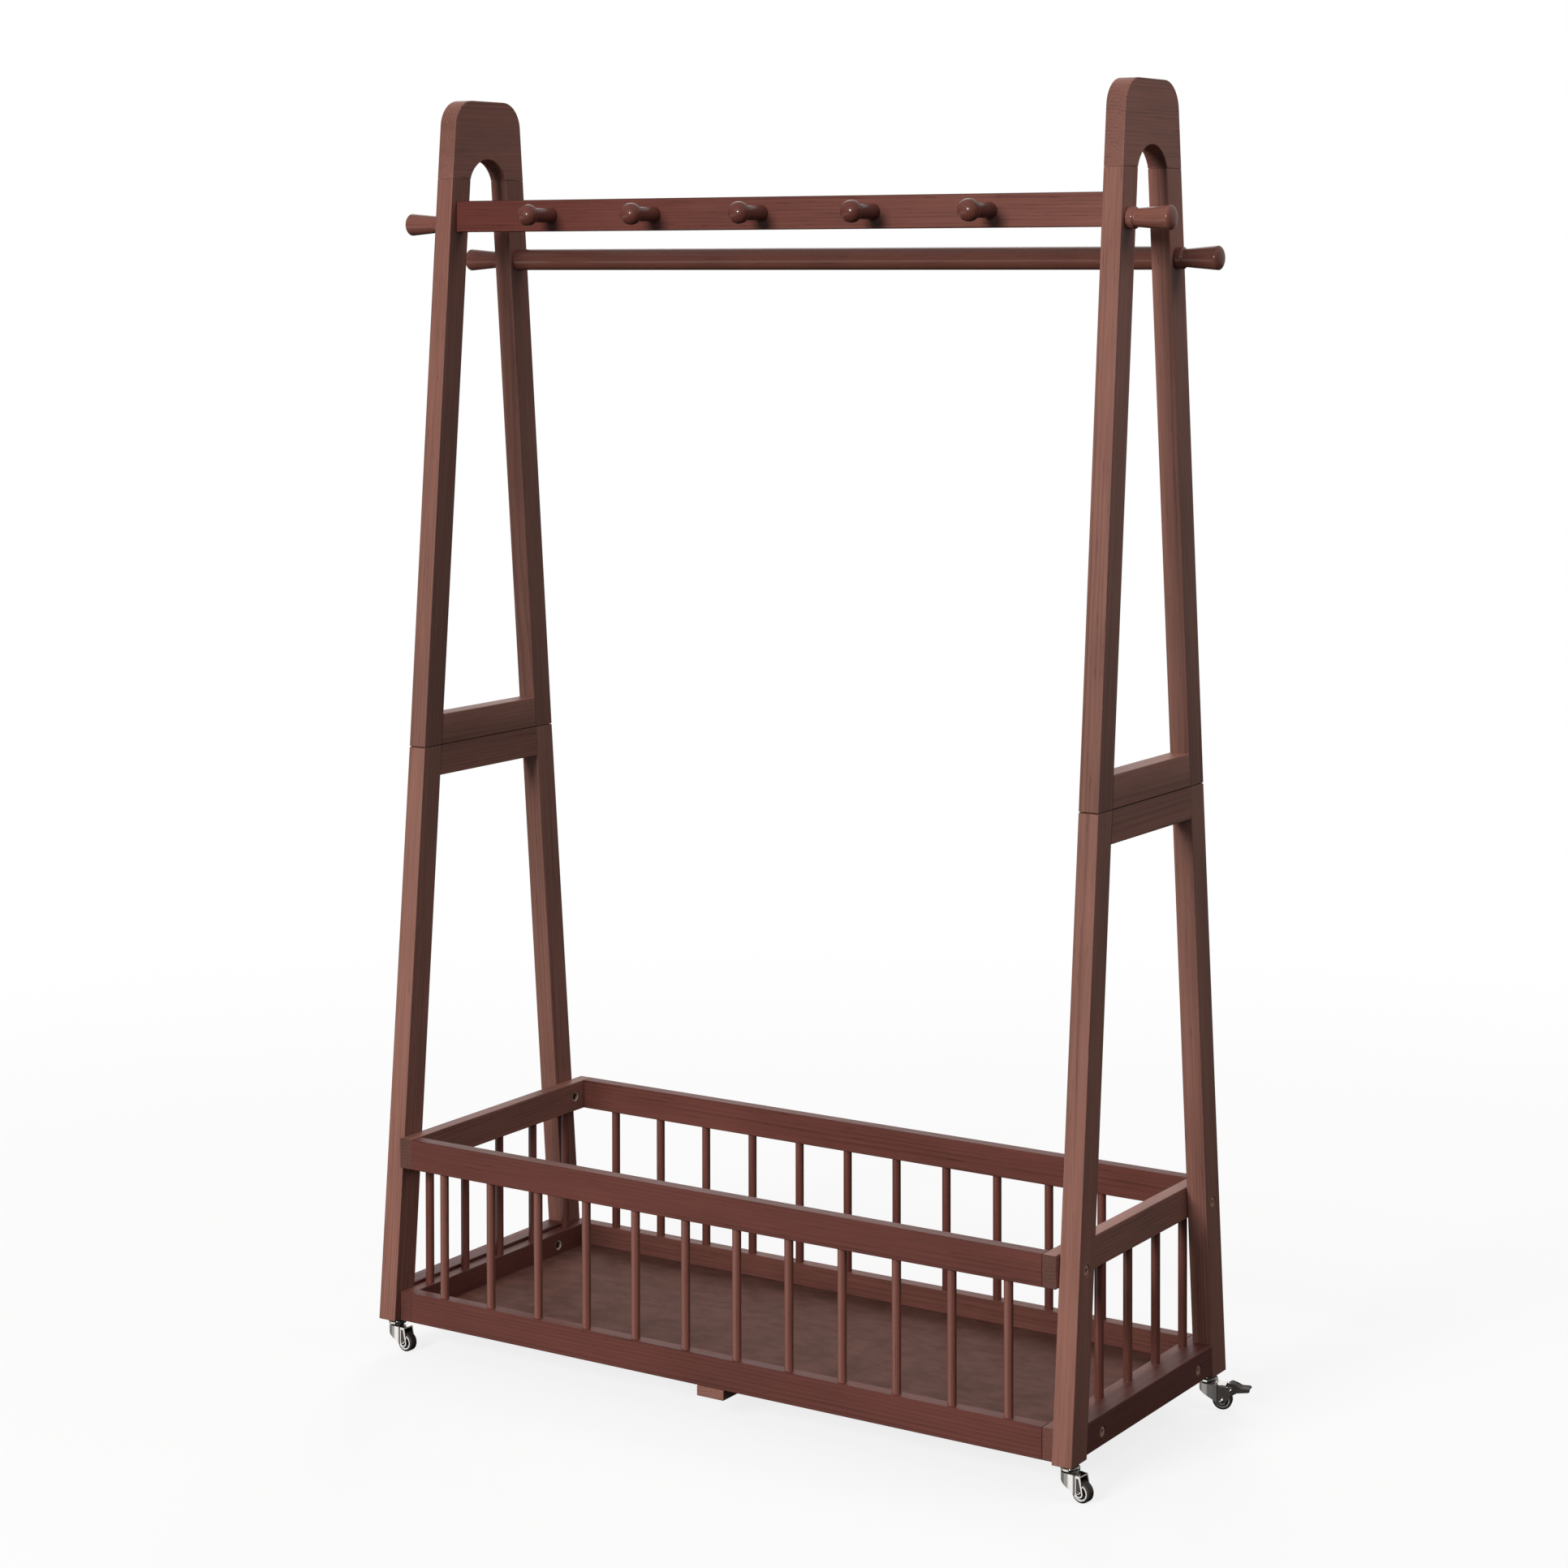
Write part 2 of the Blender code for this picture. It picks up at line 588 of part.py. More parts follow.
def make_bolts(steel):
    """Eight socket-head bolts, sunk in the ends, that hold the basket."""
    head_end = BOLT_SUNK + BOLT_HEAD_HEIGHT
    length = END_THICKNESS + GAP + BOLT_BITE
    socket_end = BOLT_SUNK + SOCKET_DEPTH
    bolt = lathe(
        [(0, socket_end), (SOCKET_RADIUS, socket_end), (SOCKET_RADIUS, BOLT_SUNK), (BOLT_HEAD, BOLT_SUNK),
         (BOLT_HEAD, head_end), (BOLT_SHANK, head_end), (BOLT_SHANK, length), (0, length)], BOLT_SIDES,
    )
    head = clear_of(BOLT_HEAD, BOLT_SIDES)
    shank = clear_of(BOLT_SHANK, BOLT_SIDES)
    hole = lathe(
        [(0, -EDGE), (head, -EDGE), (head, head_end + GAP), (shank, head_end + GAP),
         (shank, END_THICKNESS + SLAT_WIDTH + EDGE), (0, END_THICKNESS + SLAT_WIDTH + EDGE)], BOLT_SIDES,
    )
    upper_z = FOOT + BASKET_TOP - UPPER_BOLT_DROP
    lower_z = FOOT + LOWER_BOLT_HEIGHT
    for end, side in SIDES.items():
        for way_name, way in WAYS.items():
            rows = (
                ("upper", way * leg_middle(upper_z), upper_z, f"{end}_lower_{way_name}_leg", "top"),
                ("lower", way * LOWER_BOLT_SPAN, lower_z, f"{end}_foot_rail", "spindle"),
            )
            for level, y, z, through, slat in rows:
                place = along_x(side * OUTER_X, y, z, -side)
                piece(f"{end}_{way_name}_{level}_bolt", moved(bolt, place), steel)
                drill(moved(hole, place), through, f"basket_{end}_{slat}_slat")


# Casters, in their own frame: x runs from the stem to the wheel, z is over the floor
def tangent_angle(point, centre, radius, turn):
    """Angle on a circle where a line from a point touches it."""
    away = Vector(point) - Vector(centre)
    return math.atan2(away.y, away.x) + turn * math.acos(radius / away.length)


def circle_points(centre, radius, start, end, steps):
    turns = [start + (end - start) * i / steps for i in range(steps + 1)]
    return [(centre[0] + radius * math.cos(a), centre[1] + radius * math.sin(a)) for a in turns]


def fork_shapes(brake):
    """Folded plate fork: its outer block, and the channel that leaves top, front wall and arms standing."""
    top = FOOT - RACE_HEIGHT - RACE_NECK - GAP
    axle = (TRAIL, WHEEL_RADIUS)
    skirt = (-FORK_FRONT, FORK_SKIRT)
    start = tangent_angle(skirt, axle, ARM_RADIUS, 1)
    touch = Vector(axle) + ARM_RADIUS * Vector((math.cos(start), math.sin(start)))
    run = (touch - Vector(skirt)).normalized()
    inward = Vector((-run.y, run.x))
    if brake:
        pivot = (TRAIL + LEVER_BEHIND, WHEEL_RADIUS + LEVER_ABOVE)
        apart = Vector(pivot) - Vector(axle)
        turn = math.atan2(apart.y, apart.x) - math.acos((ARM_RADIUS - EAR_RADIUS) / apart.length)
        rear = circle_points(axle, ARM_RADIUS, start, turn + 2 * math.pi, 4)
        rear += circle_points(pivot, EAR_RADIUS, turn, math.pi / 2, 4)
        rear += [(BRAKE_PLATE, pivot[1] + EAR_RADIUS), (BRAKE_PLATE, top)]
    else:
        stop = tangent_angle((FORK_REAR, top), axle, ARM_RADIUS, -1) + 2 * math.pi
        rear = circle_points(axle, ARM_RADIUS, start, stop, 5) + [(FORK_REAR, top)]

    def wall_line(x, offset):
        """Height of the sloping front wall over a place, offset inwards."""
        at_point = Vector(skirt) + inward * offset
        return at_point.y + (x - at_point.x) * run.y / run.x

    def front(radius, y):
        return -math.sqrt(radius**2 - y**2)

    half = FORK_WIDTH / 2
    outer = []
    for y in [half * share for share in FORK_CUTS]:
        x = front(FORK_FRONT, y)
        outer.append([(p, y, q) for p, q in [(x, top), (x, wall_line(x, 0))] + rear])
    clear = WHEEL_RADIUS + EDGE
    foot_point = Vector(axle) - inward * (ARM_RADIUS - FORK_WALL)
    lip = foot_point - run * math.sqrt(clear**2 - (ARM_RADIUS - FORK_WALL) ** 2)
    out = lip - inward * 3 * FORK_WALL
    ceiling = top - FORK_WALL
    beyond = 3 * WHEEL_RADIUS
    inside = half - FORK_WALL
    channel = []
    for y in [inside * share for share in FORK_CUTS]:
        x = front(FORK_FRONT - FORK_WALL, y)
        ring = [(beyond, ceiling), (x, ceiling), (x, wall_line(x, FORK_WALL)), tuple(lip), tuple(out)]
        ring += [(out.x, -EDGE), (beyond, -EDGE)]
        channel.append([(p, y, q) for p, q in ring])
    return loft(outer), loft(channel)


def lever_shapes():
    """Brake lever round its pivot: the body between the ears, and the wider tab behind them."""
    inner = FORK_WIDTH / 2 - FORK_WALL - 2 * GAP
    body = [
        (-0.0031, 0.0054), (0.0007, 0.0075), (0.0067, 0.0058),
        (0.0067, -0.0030), (0.0014, -0.0062), (-0.0026, -0.0026),
    ]
    tab = [
        (0.0052, 0.0057), (0.0092, 0.0040), (0.0122, 0.0024), (LEVER_REACH - 0.001, 0.0024),
        (LEVER_REACH, 0.0014), (LEVER_REACH, 0.0006), (LEVER_REACH - 0.0015, -0.0006), (0.0052, -0.0026),
    ]
    shapes = []
    for outline, half in ((body, inner), (tab, LEVER_WIDTH / 2)):
        edge = EDGE / 2
        middle = sum((Vector(p) for p in outline), Vector((0, 0))) / len(outline)
        rings = []
        for y, shrink in ((-half, LEVER_END), (edge - half, 1), (half - edge, 1), (half, LEVER_END)):
            ring = [middle + (Vector(p) - middle) * shrink for p in outline]
            rings.append([(p.x, y, p.y) for p in ring])
        shapes.append(loft(rings))
    return shapes


def wheel_shape():
    """Tyre moulded on its hub, turned round the axle."""
    half = WHEEL_WIDTH / 2
    flat = math.cos(math.pi / WHEEL_SIDES)
    side = [
        (clear_of(AXLE_RADIUS, WHEEL_SIDES) * flat, half - GAP), (HUB_RADIUS - EDGE, half - HUB_DISH),
        (HUB_RADIUS, half - EDGE / 2), (WHEEL_RADIUS - EDGE, half), (WHEEL_RADIUS, half - 2 * EDGE),
    ]
    ring = side + [(r, -h) for r, h in reversed(side)]
    turned = lathe([(r / flat, h) for r, h in ring], WHEEL_SIDES, closed=True)
    return moved(turned, Matrix.Rotation(math.pi / 2, 4, "X"))


def rivet(radius, x, z):
    """Domed rivet along Y through both arms of the fork."""
    arm = FORK_WIDTH / 2
    head = radius + RIVET_LIP
    shoulder = (head * RIVET_SHOULDER[0], -arm - RIVET_RISE * RIVET_SHOULDER[1])
    profile = [(0, -arm - RIVET_RISE), shoulder, (head, -arm - GAP), (head, EDGE - arm), (radius, EDGE - arm)]
    profile += [(r, -h) for r, h in reversed(profile)]
    return moved(lathe(profile, RIVET_SIDES), along_y(x, 0, z))


def stem_shape():
    """Fixed stem: pin into the leg, ball race under it, and the riveted pin through the fork."""
    race_foot = FOOT - RACE_HEIGHT
    fork_top = race_foot - RACE_NECK - GAP
    under = fork_top - FORK_WALL - GAP
    return lathe(
        [(0, under - PIN_HEAD), (PIN_RADIUS + PIN_HEAD, under - PIN_HEAD), (PIN_RADIUS + PIN_HEAD, under),
         (PIN_RADIUS, under), (PIN_RADIUS, fork_top + GAP), (RACE_RADIUS - RACE_STEP, fork_top + GAP),
         (RACE_RADIUS - RACE_STEP, race_foot), (RACE_RADIUS, race_foot + EDGE),
         (RACE_RADIUS, race_foot + RACE_BEAD - EDGE), (RACE_RADIUS - EDGE, race_foot + RACE_BEAD),
         (RACE_RADIUS - EDGE, FOOT - GAP),
         (STEM_RADIUS, FOOT - GAP), (STEM_RADIUS, FOOT + STEM_LENGTH), (0, FOOT + STEM_LENGTH)],
        STEM_SIDES,
    )


def make_casters(steel, bright, rubber, plastic):
    """Four casters, each on an empty at its swivel axis; the rear pair has brake levers."""
    fork_top = FOOT - RACE_HEIGHT - RACE_NECK - GAP
    socket = rod(clear_of(STEM_RADIUS, STEM_SIDES), FOOT - EDGE, FOOT + STEM_LENGTH + GAP, STEM_SIDES)
    for corner, heading in CASTER_HEADINGS.items():
        way_name, end = corner.split("_")
        brake = way_name == "rear"
        x, y = SIDES[end] * MIDDLE_X, WAYS[way_name] * (FOOT_DEPTH / 2 - CASTER_INSET)
        swivel = bpy.data.objects.new(f"swivel_{corner}", None)
        swivel.location = (x, y, 0)
        swivel.rotation_euler = (0, 0, math.radians(heading))
        bpy.context.collection.objects.link(swivel)
        piece(f"{corner}_caster_stem", stem_shape(), bright, origin=(x, y, 0))
        drill(moved(socket, at(x, y, 0)), f"{end}_lower_{way_name}_leg")
        outer, channel = fork_shapes(brake)
        fork = piece(f"{corner}_caster_fork", outer, steel, swivel)
        modify(fork, channel, parent=swivel)
        plate = (fork_top - FORK_WALL - EDGE, fork_top + EDGE)
        pin_hole = rod(clear_of(PIN_RADIUS, STEM_SIDES), *plate, STEM_SIDES)
        modify(fork, pin_hole, parent=swivel)
        rivets = [rivet(AXLE_RADIUS, TRAIL, WHEEL_RADIUS)]
        piece(f"{corner}_caster_wheel", wheel_shape(), rubber, swivel, (TRAIL, 0, WHEEL_RADIUS))
        if brake:
            pivot = (TRAIL + LEVER_BEHIND, 0, WHEEL_RADIUS + LEVER_ABOVE)
            rivets.append(rivet(LEVER_PIN, pivot[0], pivot[2]))
            body, tab = lever_shapes()
            lever = piece(f"{corner}_brake_lever", body, plastic, swivel, pivot)
            modify(lever, moved(tab, at(*pivot)), "UNION", swivel)
            bore = rod(clear_of(LEVER_PIN, RIVET_SIDES), -WHEEL_RADIUS, WHEEL_RADIUS, RIVET_SIDES)
            modify(lever, moved(bore, along_y(*pivot)), parent=swivel)
        modify(fork, merged(rivets), "UNION", swivel)


def main():
    for old in list(bpy.data.objects):
        bpy.data.objects.remove(old)
    pine = material("Pine stained red-brown", "7A453D", 0.45)
    turned = material("Pine turned and lacquered", "5F332C", 0.32)
    plywood = material("Plywood stained dull brown", "6B4A3E", 0.6)
    zinc = material("Zinc plated steel", "8C8781", 0.35, 1.0)
    chrome = material("Bright plated steel", "D9D6D2", 0.15, 1.0)
    rubber = material("Grey-brown tyre", "3A332E", 0.6)
    plastic = material("Dark lever plastic", "4A3F39", 0.5)
    for end, side in SIDES.items():
        make_end_frame(end, side, pine)
    make_board_and_rod(pine, turned)
    make_pegs(turned)
    make_basket(pine, plywood)
    make_bolts(zinc)
    make_casters(zinc, chrome, rubber, plastic)
    bpy.context.view_layer.update()
    for name, shapes in glued.items():
        modify(bpy.data.objects[name], merged(shapes), "UNION")
    for name, shapes in drilled.items():
        modify(bpy.data.objects[name], merged(shapes))


main()
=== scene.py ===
# %% [markdown]
# # A rolling clothes rack in stained pine
# The real rack is a flat-pack: two leaning end frames of planed pine carry a board with turned hooks, a round
# rod and a spindle basket, and stand on four small casters. This lesson dresses its CAD frame. Each piece is
# built as arrays of points with numpy, in metres and where it stands, so that its object stays at the origin.

# %% Load the frame
import json
import math

import bmesh
import bpy
import numpy as np
from mathutils import Matrix, Vector


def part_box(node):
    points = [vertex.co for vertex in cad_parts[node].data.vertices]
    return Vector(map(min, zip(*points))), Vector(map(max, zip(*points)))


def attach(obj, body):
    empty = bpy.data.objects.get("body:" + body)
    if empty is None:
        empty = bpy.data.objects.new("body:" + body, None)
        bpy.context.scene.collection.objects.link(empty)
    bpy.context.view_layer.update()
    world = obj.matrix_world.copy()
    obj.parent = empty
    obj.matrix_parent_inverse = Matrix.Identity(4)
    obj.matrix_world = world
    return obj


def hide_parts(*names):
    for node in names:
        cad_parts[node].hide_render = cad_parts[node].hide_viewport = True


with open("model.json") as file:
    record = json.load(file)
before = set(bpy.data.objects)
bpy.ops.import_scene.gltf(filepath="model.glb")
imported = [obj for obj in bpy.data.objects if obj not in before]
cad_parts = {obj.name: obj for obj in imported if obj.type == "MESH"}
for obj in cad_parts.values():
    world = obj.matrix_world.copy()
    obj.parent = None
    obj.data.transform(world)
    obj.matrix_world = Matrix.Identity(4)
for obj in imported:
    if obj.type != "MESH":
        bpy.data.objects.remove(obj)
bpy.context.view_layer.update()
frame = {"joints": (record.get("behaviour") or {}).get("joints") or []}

# %% [markdown]
# ## Lines and levels
# A few can't be read from a box, because the CAD pieces carry dowels: those are repeated here as the sizes of
# the real rack.

# %% Levels of the end frames
FOOT_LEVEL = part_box("left_lower_front_leg")[0].z
JOINT_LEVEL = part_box("left_upper_rail")[0].z
GLUE_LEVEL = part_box("left_head")[0].z
TOP_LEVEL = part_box("left_head")[1].z
FRAME_IN, FRAME_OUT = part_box("right_head")[0].x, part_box("right_head")[1].x
HALF_FOOT = 0.2014  # middle of the rack to the outer side of a leg, at the foot
LEAN = 0.0863  # how far a leg leans in for each metre of height
LEG_WIDTH = 0.0378
SEAM = 0.0003  # what two glued or bolted pieces leave between them
SIDES = {"left": -1, "right": 1}
WAYS = {"front": -1, "rear": 1}


def outer_line(height):
    """Depth of a leg's outer side: a straight line that leans in."""
    return HALF_FOOT - LEAN * (height - FOOT_LEVEL)


def inner_line(height):
    """Depth of a leg's inner side, one leg's width nearer the middle."""
    return outer_line(height) - LEG_WIDTH


print(f"feet {2 * HALF_FOOT * 1000:.0f} mm deep, top at {TOP_LEVEL * 1000:.0f} mm")

# %% [markdown]
# The basket hangs between the end frames, and the rod and the board run from one to the other. One side slat
# spans the basket's whole depth, so its box gives the rims' levels and thickness for all the others.

# %% Levels of the basket, the board and the rod
BASKET_FRONT, BASKET_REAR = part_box("basket_right_top_slat")[0].y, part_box("basket_right_top_slat")[1].y
BASKET_IN, BASKET_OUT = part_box("basket_right_top_slat")[0].x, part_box("basket_right_top_slat")[1].x
TOP_SLAT_LOW, TOP_SLAT_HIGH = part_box("basket_right_top_slat")[0].z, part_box("basket_right_top_slat")[1].z
BASKET_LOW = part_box("basket_right_spindle_slat")[0].z
BOTTOM_SLAT_HEIGHT = 0.0377
SLAT_WIDTH = BASKET_OUT - BASKET_IN
SLAT_END = BASKET_IN - SEAM
ROD_LEVEL = (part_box("hanging_rod")[0].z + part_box("hanging_rod")[1].z) / 2
ROD_DEPTH = (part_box("hanging_rod")[0].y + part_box("hanging_rod")[1].y) / 2
ROD_RADIUS = 0.014
ROD_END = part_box("hanging_rod")[1].x
print(f"basket {2 * BASKET_OUT * 1000:.0f} x {(BASKET_REAR - BASKET_FRONT) * 1000:.0f} mm,",
      f"rod at {ROD_LEVEL:.3f} m")

# %% [markdown]
# ## The camera
# The photograph was taken from the right of the hook side, a little under the top of the rack, with a long
# lens and the picture plane upright. An upright picture plane means that the camera isn't tilted down: its
# frame is shifted down instead, so the legs stay parallel to the picture's edges.

# %% Camera
PHOTO_SIZE = 1932  # pixels, square
PHOTO_FOCUS = 4112.57  # focal length in those pixels
PHOTO_CENTRE = (966.0, 398.27)  # where the lens axis meets the picture
CAMERA_PLACE = (2.2425, -3.4959, 1.3893)
CAMERA_TURN, CAMERA_PITCH, CAMERA_ROLL = 32.80, -0.978, -0.0715  # degrees

camera_data = bpy.data.cameras.new("camera")
camera_data.sensor_width = 36
camera_data.lens = PHOTO_FOCUS / PHOTO_SIZE * camera_data.sensor_width
camera_data.shift_x = (PHOTO_SIZE / 2 - PHOTO_CENTRE[0]) / PHOTO_SIZE
camera_data.shift_y = (PHOTO_CENTRE[1] - PHOTO_SIZE / 2) / PHOTO_SIZE
camera = bpy.data.objects.new("camera", camera_data)
turn = Matrix.Rotation(math.radians(CAMERA_TURN), 4, "Z")
tilt = Matrix.Rotation(math.radians(90 + CAMERA_PITCH), 4, "X")
roll = Matrix.Rotation(math.radians(CAMERA_ROLL), 4, "Z")
camera.matrix_world = Matrix.Translation(CAMERA_PLACE) @ turn @ tilt @ roll
bpy.context.scene.collection.objects.link(camera)
bpy.context.scene.camera = camera
print(f"lens {camera_data.lens:.1f} mm, shifted {camera_data.shift_y:.3f} of the frame")

# %% [markdown]
# ## Materials
# A colour that is picked on a screen is an sRGB value, and a shader wants linear light, so one function turns
# one into the other. Another adds a node with its settings and its links, which keeps the recipes short.

# %% Helpers for materials
def linear(hexadecimal):
    """sRGB hex to linear red, green and blue."""
    value = np.array([int(hexadecimal[i : i + 2], 16) for i in (0, 2, 4)]) / 255
    return np.where(value <= 0.04045, value / 12.92, ((value + 0.055) / 1.055) ** 2.4)


def rgba(hexadecimal):
    """The same with full opacity, as a colour socket takes it."""
    return (*linear(hexadecimal), 1.0)


def node(tree, kind, inputs=(), out=0, **settings):
    """Add a node and return one of its outputs.

    Inputs are values or other nodes' outputs, in socket order or by socket; settings are its own properties.
    """
    made = tree.nodes.new("ShaderNode" + kind)
    for key, value in settings.items():
        setattr(made, key, value)
    for key, value in inputs.items() if isinstance(inputs, dict) else enumerate(inputs):
        if isinstance(value, bpy.types.NodeSocket):
            tree.links.new(value, made.inputs[key])
        else:
            made.inputs[key].default_value = value
    return made.outputs[out]


def new_material(name, **constants):
    """A material whose Principled shader has these constants; returns it with its tree and shader."""
    made = bpy.data.materials.new(name)
    made.use_nodes = True
    shader = made.node_tree.nodes["Principled BSDF"]
    for key, value in constants.items():
        shader.inputs[key.replace("_", " ").title().replace("Ior", "IOR")].default_value = value
    return made, made.node_tree, shader


# A Map Range node takes its value, the two limits that it comes from and the two that it goes to.
SMOOTH = {"interpolation_type": "SMOOTHSTEP"}
print("mid grey 808080 is", round(float(linear("808080")[0]), 3), "in linear light")

# %% [markdown]
# ### Stained pine
# Pine is a softwood: each year adds a wide pale band and a narrow dense one, so a planed face shows rings as
# lines along its length and as arches where the saw ran beside the heart. The stain sinks in unevenly and
# gathers in the fibres, and a satin lacquer lies over it, which gives a soft sheen and no mirror image. The
# recipe works on the attribute "grain": the place in the plank that the piece was cut from, in metres, with x
# along the fibres and the heart at y = z = 0. Rings are then distances from the x axis, so side faces and end
# grain agree with no unwrapping. The attribute "tone" says how pale the stain is, and on some pieces it also
# carries painted light and shade: a piece, or one end of it, is made paler or darker for the light that falls
# there. A third attribute, read as lines, makes end grain darker, where the stain soaks in deeper, and
# carries painted shade along eased edges and in the groove of the joint.

# %% Stained pine
RING_SPACING = 0.0042  # metres of growth in a year
RING_WANDER = 0.0075  # how far a ring strays from round
DENSE_FROM, DENSE_TO = 0.35, 0.96  # part of a year's growth over which the wood turns dense and dark
LINE_DEPTH = 0.6  # how much darker end grain stains, and how deep the painted shade along an eased edge is
RING_DEPTH, FIBRE_DEPTH, BLOTCH_DEPTH = 0.55, 1.7, 1.6  # how much each shades a stain of contrast 1
FLECK_DEPTH = 0.3
# Noise cells a metre along and across the fibres. Real fibres are finer, and are drawn this coarse to show.
WANDER = (2.2, 16.0, 16.0)
UNEVEN = (1.5, 60.0, 60.0)
FIBRE = (9.0, 420.0, 420.0)  # streaks 2.4 mm wide
FINE_FIBRE = (45.0, 1500.0, 1500.0)
FLECK = (30.0, 620.0, 620.0)  # short dark pores
BLOTCH = (5.0, 14.0, 14.0)
GRAIN_RELIEF = 0.00012


def stained_pine(name, deep, light, roughness, contrast, **constants):
    """Pine whose stain runs from deep to light with the tone, and past light where the tone is over 1."""
    made, tree, shader = new_material(name, **constants)
    grain = node(tree, "Attribute", out="Vector", attribute_name="grain")
    tone = node(tree, "Attribute", out="Fac", attribute_name="tone")
    line = node(tree, "Attribute", out="Fac", attribute_name="stain_and_shade_line")
    cells = {}
    patterns = {"wander": (WANDER, 3.0), "uneven": (UNEVEN, 1.0), "fibre": (FIBRE, 2.0),
                "fine": (FINE_FIBRE, 3.0), "blotch": (BLOTCH, 2.0), "fleck": (FLECK, 1.0)}
    for pattern, (size, detail) in patterns.items():
        place = node(tree, "VectorMath", (grain, size), operation="MULTIPLY")
        cells[pattern] = node(tree, "TexNoise", {"Vector": place, "Scale": 1.0, "Detail": detail})

    cross = node(tree, "VectorMath", (grain, (0, 1, 1)), operation="MULTIPLY")
    radius = node(tree, "VectorMath", (cross,), out="Value", operation="LENGTH")
    years = node(tree, "Math", (cells["wander"], RING_WANDER, radius), operation="MULTIPLY_ADD")
    years = node(tree, "Math", (years, 1 / RING_SPACING), operation="MULTIPLY")
    years = node(tree, "Math", (years,), operation="FRACT")
    dense = node(tree, "MapRange", (years, DENSE_FROM, DENSE_TO), **SMOOTH)
    uneven = node(tree, "MapRange", (cells["uneven"], 0.35, 0.65, 0.25, 1.35), **SMOOTH)
    dense = node(tree, "Math", (dense, uneven), operation="MULTIPLY")
    shade = node(tree, "Math", (dense, -RING_DEPTH * contrast, 1 + contrast * 0.25), operation="MULTIPLY_ADD")
    for pattern, depth in (("fibre", FIBRE_DEPTH), ("blotch", BLOTCH_DEPTH)):
        swing = node(tree, "Math", (cells[pattern], 0.5), operation="SUBTRACT")
        shade = node(tree, "Math", (swing, depth * contrast, shade), operation="MULTIPLY_ADD")
    fleck = node(tree, "MapRange", (cells["fleck"], 0.64, 0.76), **SMOOTH)
    shade = node(tree, "Math", (fleck, -FLECK_DEPTH, shade), operation="MULTIPLY_ADD")
    # End grain's darker stain, and painted shade along eased edges and in the joint's groove
    line = node(tree, "Math", (line, -LINE_DEPTH, 1.0), operation="MULTIPLY_ADD")
    shade = node(tree, "Math", (shade, line), operation="MULTIPLY")
    stain_and_shade = node(
        tree, "Mix", {0: tone, 6: rgba(deep), 7: rgba(light)}, out=2, data_type="RGBA", clamp_factor=False,
    )
    coloured = node(tree, "VectorMath", {0: stain_and_shade, "Scale": shade}, operation="SCALE")
    tree.links.new(coloured, shader.inputs["Base Color"])

    swing = node(tree, "Math", (cells["fibre"], 0.5), operation="SUBTRACT")
    gloss = node(tree, "Math", (swing, 0.25, roughness), operation="MULTIPLY_ADD")
    tree.links.new(gloss, shader.inputs["Roughness"])
    height = node(tree, "Math", (dense, 0.5, cells["fine"]), operation="MULTIPLY_ADD")
    bump = node(tree, "Bump", {"Strength": 0.35, "Distance": GRAIN_RELIEF, "Height": height})
    tree.links.new(bump, shader.inputs["Normal"])
    return made


planed_pine = stained_pine(
    "Planed pine, stained and satin lacquered", "60342D", "8F6256", 0.48, 0.34, specular_ior_level=0.25,
)
turned_pine = stained_pine(
    "Turned pine, stained and lacquered", "5D2F27", "8A5A4E", 0.36, 0.14,
    specular_ior_level=0.2, coat_weight=0.45, coat_roughness=0.1,
)
print("two pines with rings every", RING_SPACING * 1000, "mm")

# %% [markdown]
# ### Plywood floor
# The basket's floor is thin plywood, rolled with the same stain and left matt, so it has no sheen. Its face
# veneer is peeled from the turning log, so it has broad soft clouds and no straight rings. The recipe is
# noise in two sizes on Object coordinates, which are metres from the middle of the rack.

# %% Stained plywood
CLOUD = (40.0, 70.0, 70.0)  # noise cells a metre
SPECK = (90.0, 420.0, 420.0)
plywood, tree, shader = new_material("Plywood face, stained matt", roughness=0.62, specular_ior_level=0.15)
place = node(tree, "TexCoord", out="Object")
clouds = node(tree, "VectorMath", (place, CLOUD), operation="MULTIPLY")
clouds = node(tree, "TexNoise", {"Vector": clouds, "Scale": 1.0, "Detail": 3.0})
specks = node(tree, "VectorMath", (place, SPECK), operation="MULTIPLY")
specks = node(tree, "TexNoise", {"Vector": specks, "Scale": 1.0, "Detail": 2.0})
mixed = node(tree, "Math", (specks, 0.35, clouds), operation="MULTIPLY_ADD")
mixed = node(tree, "MapRange", (mixed, 0.45, 0.9), **SMOOTH)
veneer = node(tree, "Mix", {0: mixed, 6: rgba("5D3E35"), 7: rgba("6D4A41")}, out=2, data_type="RGBA")
tree.links.new(veneer, shader.inputs["Base Color"])
bump = node(tree, "Bump", {"Strength": 0.2, "Distance": 0.0001, "Height": specks})
tree.links.new(bump, shader.inputs["Normal"])
print("plywood with clouds about", round(1000 / CLOUD[1]), "mm deep and", round(1000 / CLOUD[0]), "mm long")

# %% [markdown]
# ### Small metals, tyre and plastics
# The race and the rivets are turned steel with bright nickel, which mirrors the studio. The bolt heads are
# bronzed and the sleeve nuts dull zinc, both rougher, so they only glint. The tyre is a grey-brown elastomer,
# the hub black nylon with a white rim, and the brake levers moulded nylon with a fine spark texture, which
# spreads light evenly. They differ in two colours, a grain in mm and a roughness, so one recipe makes them.

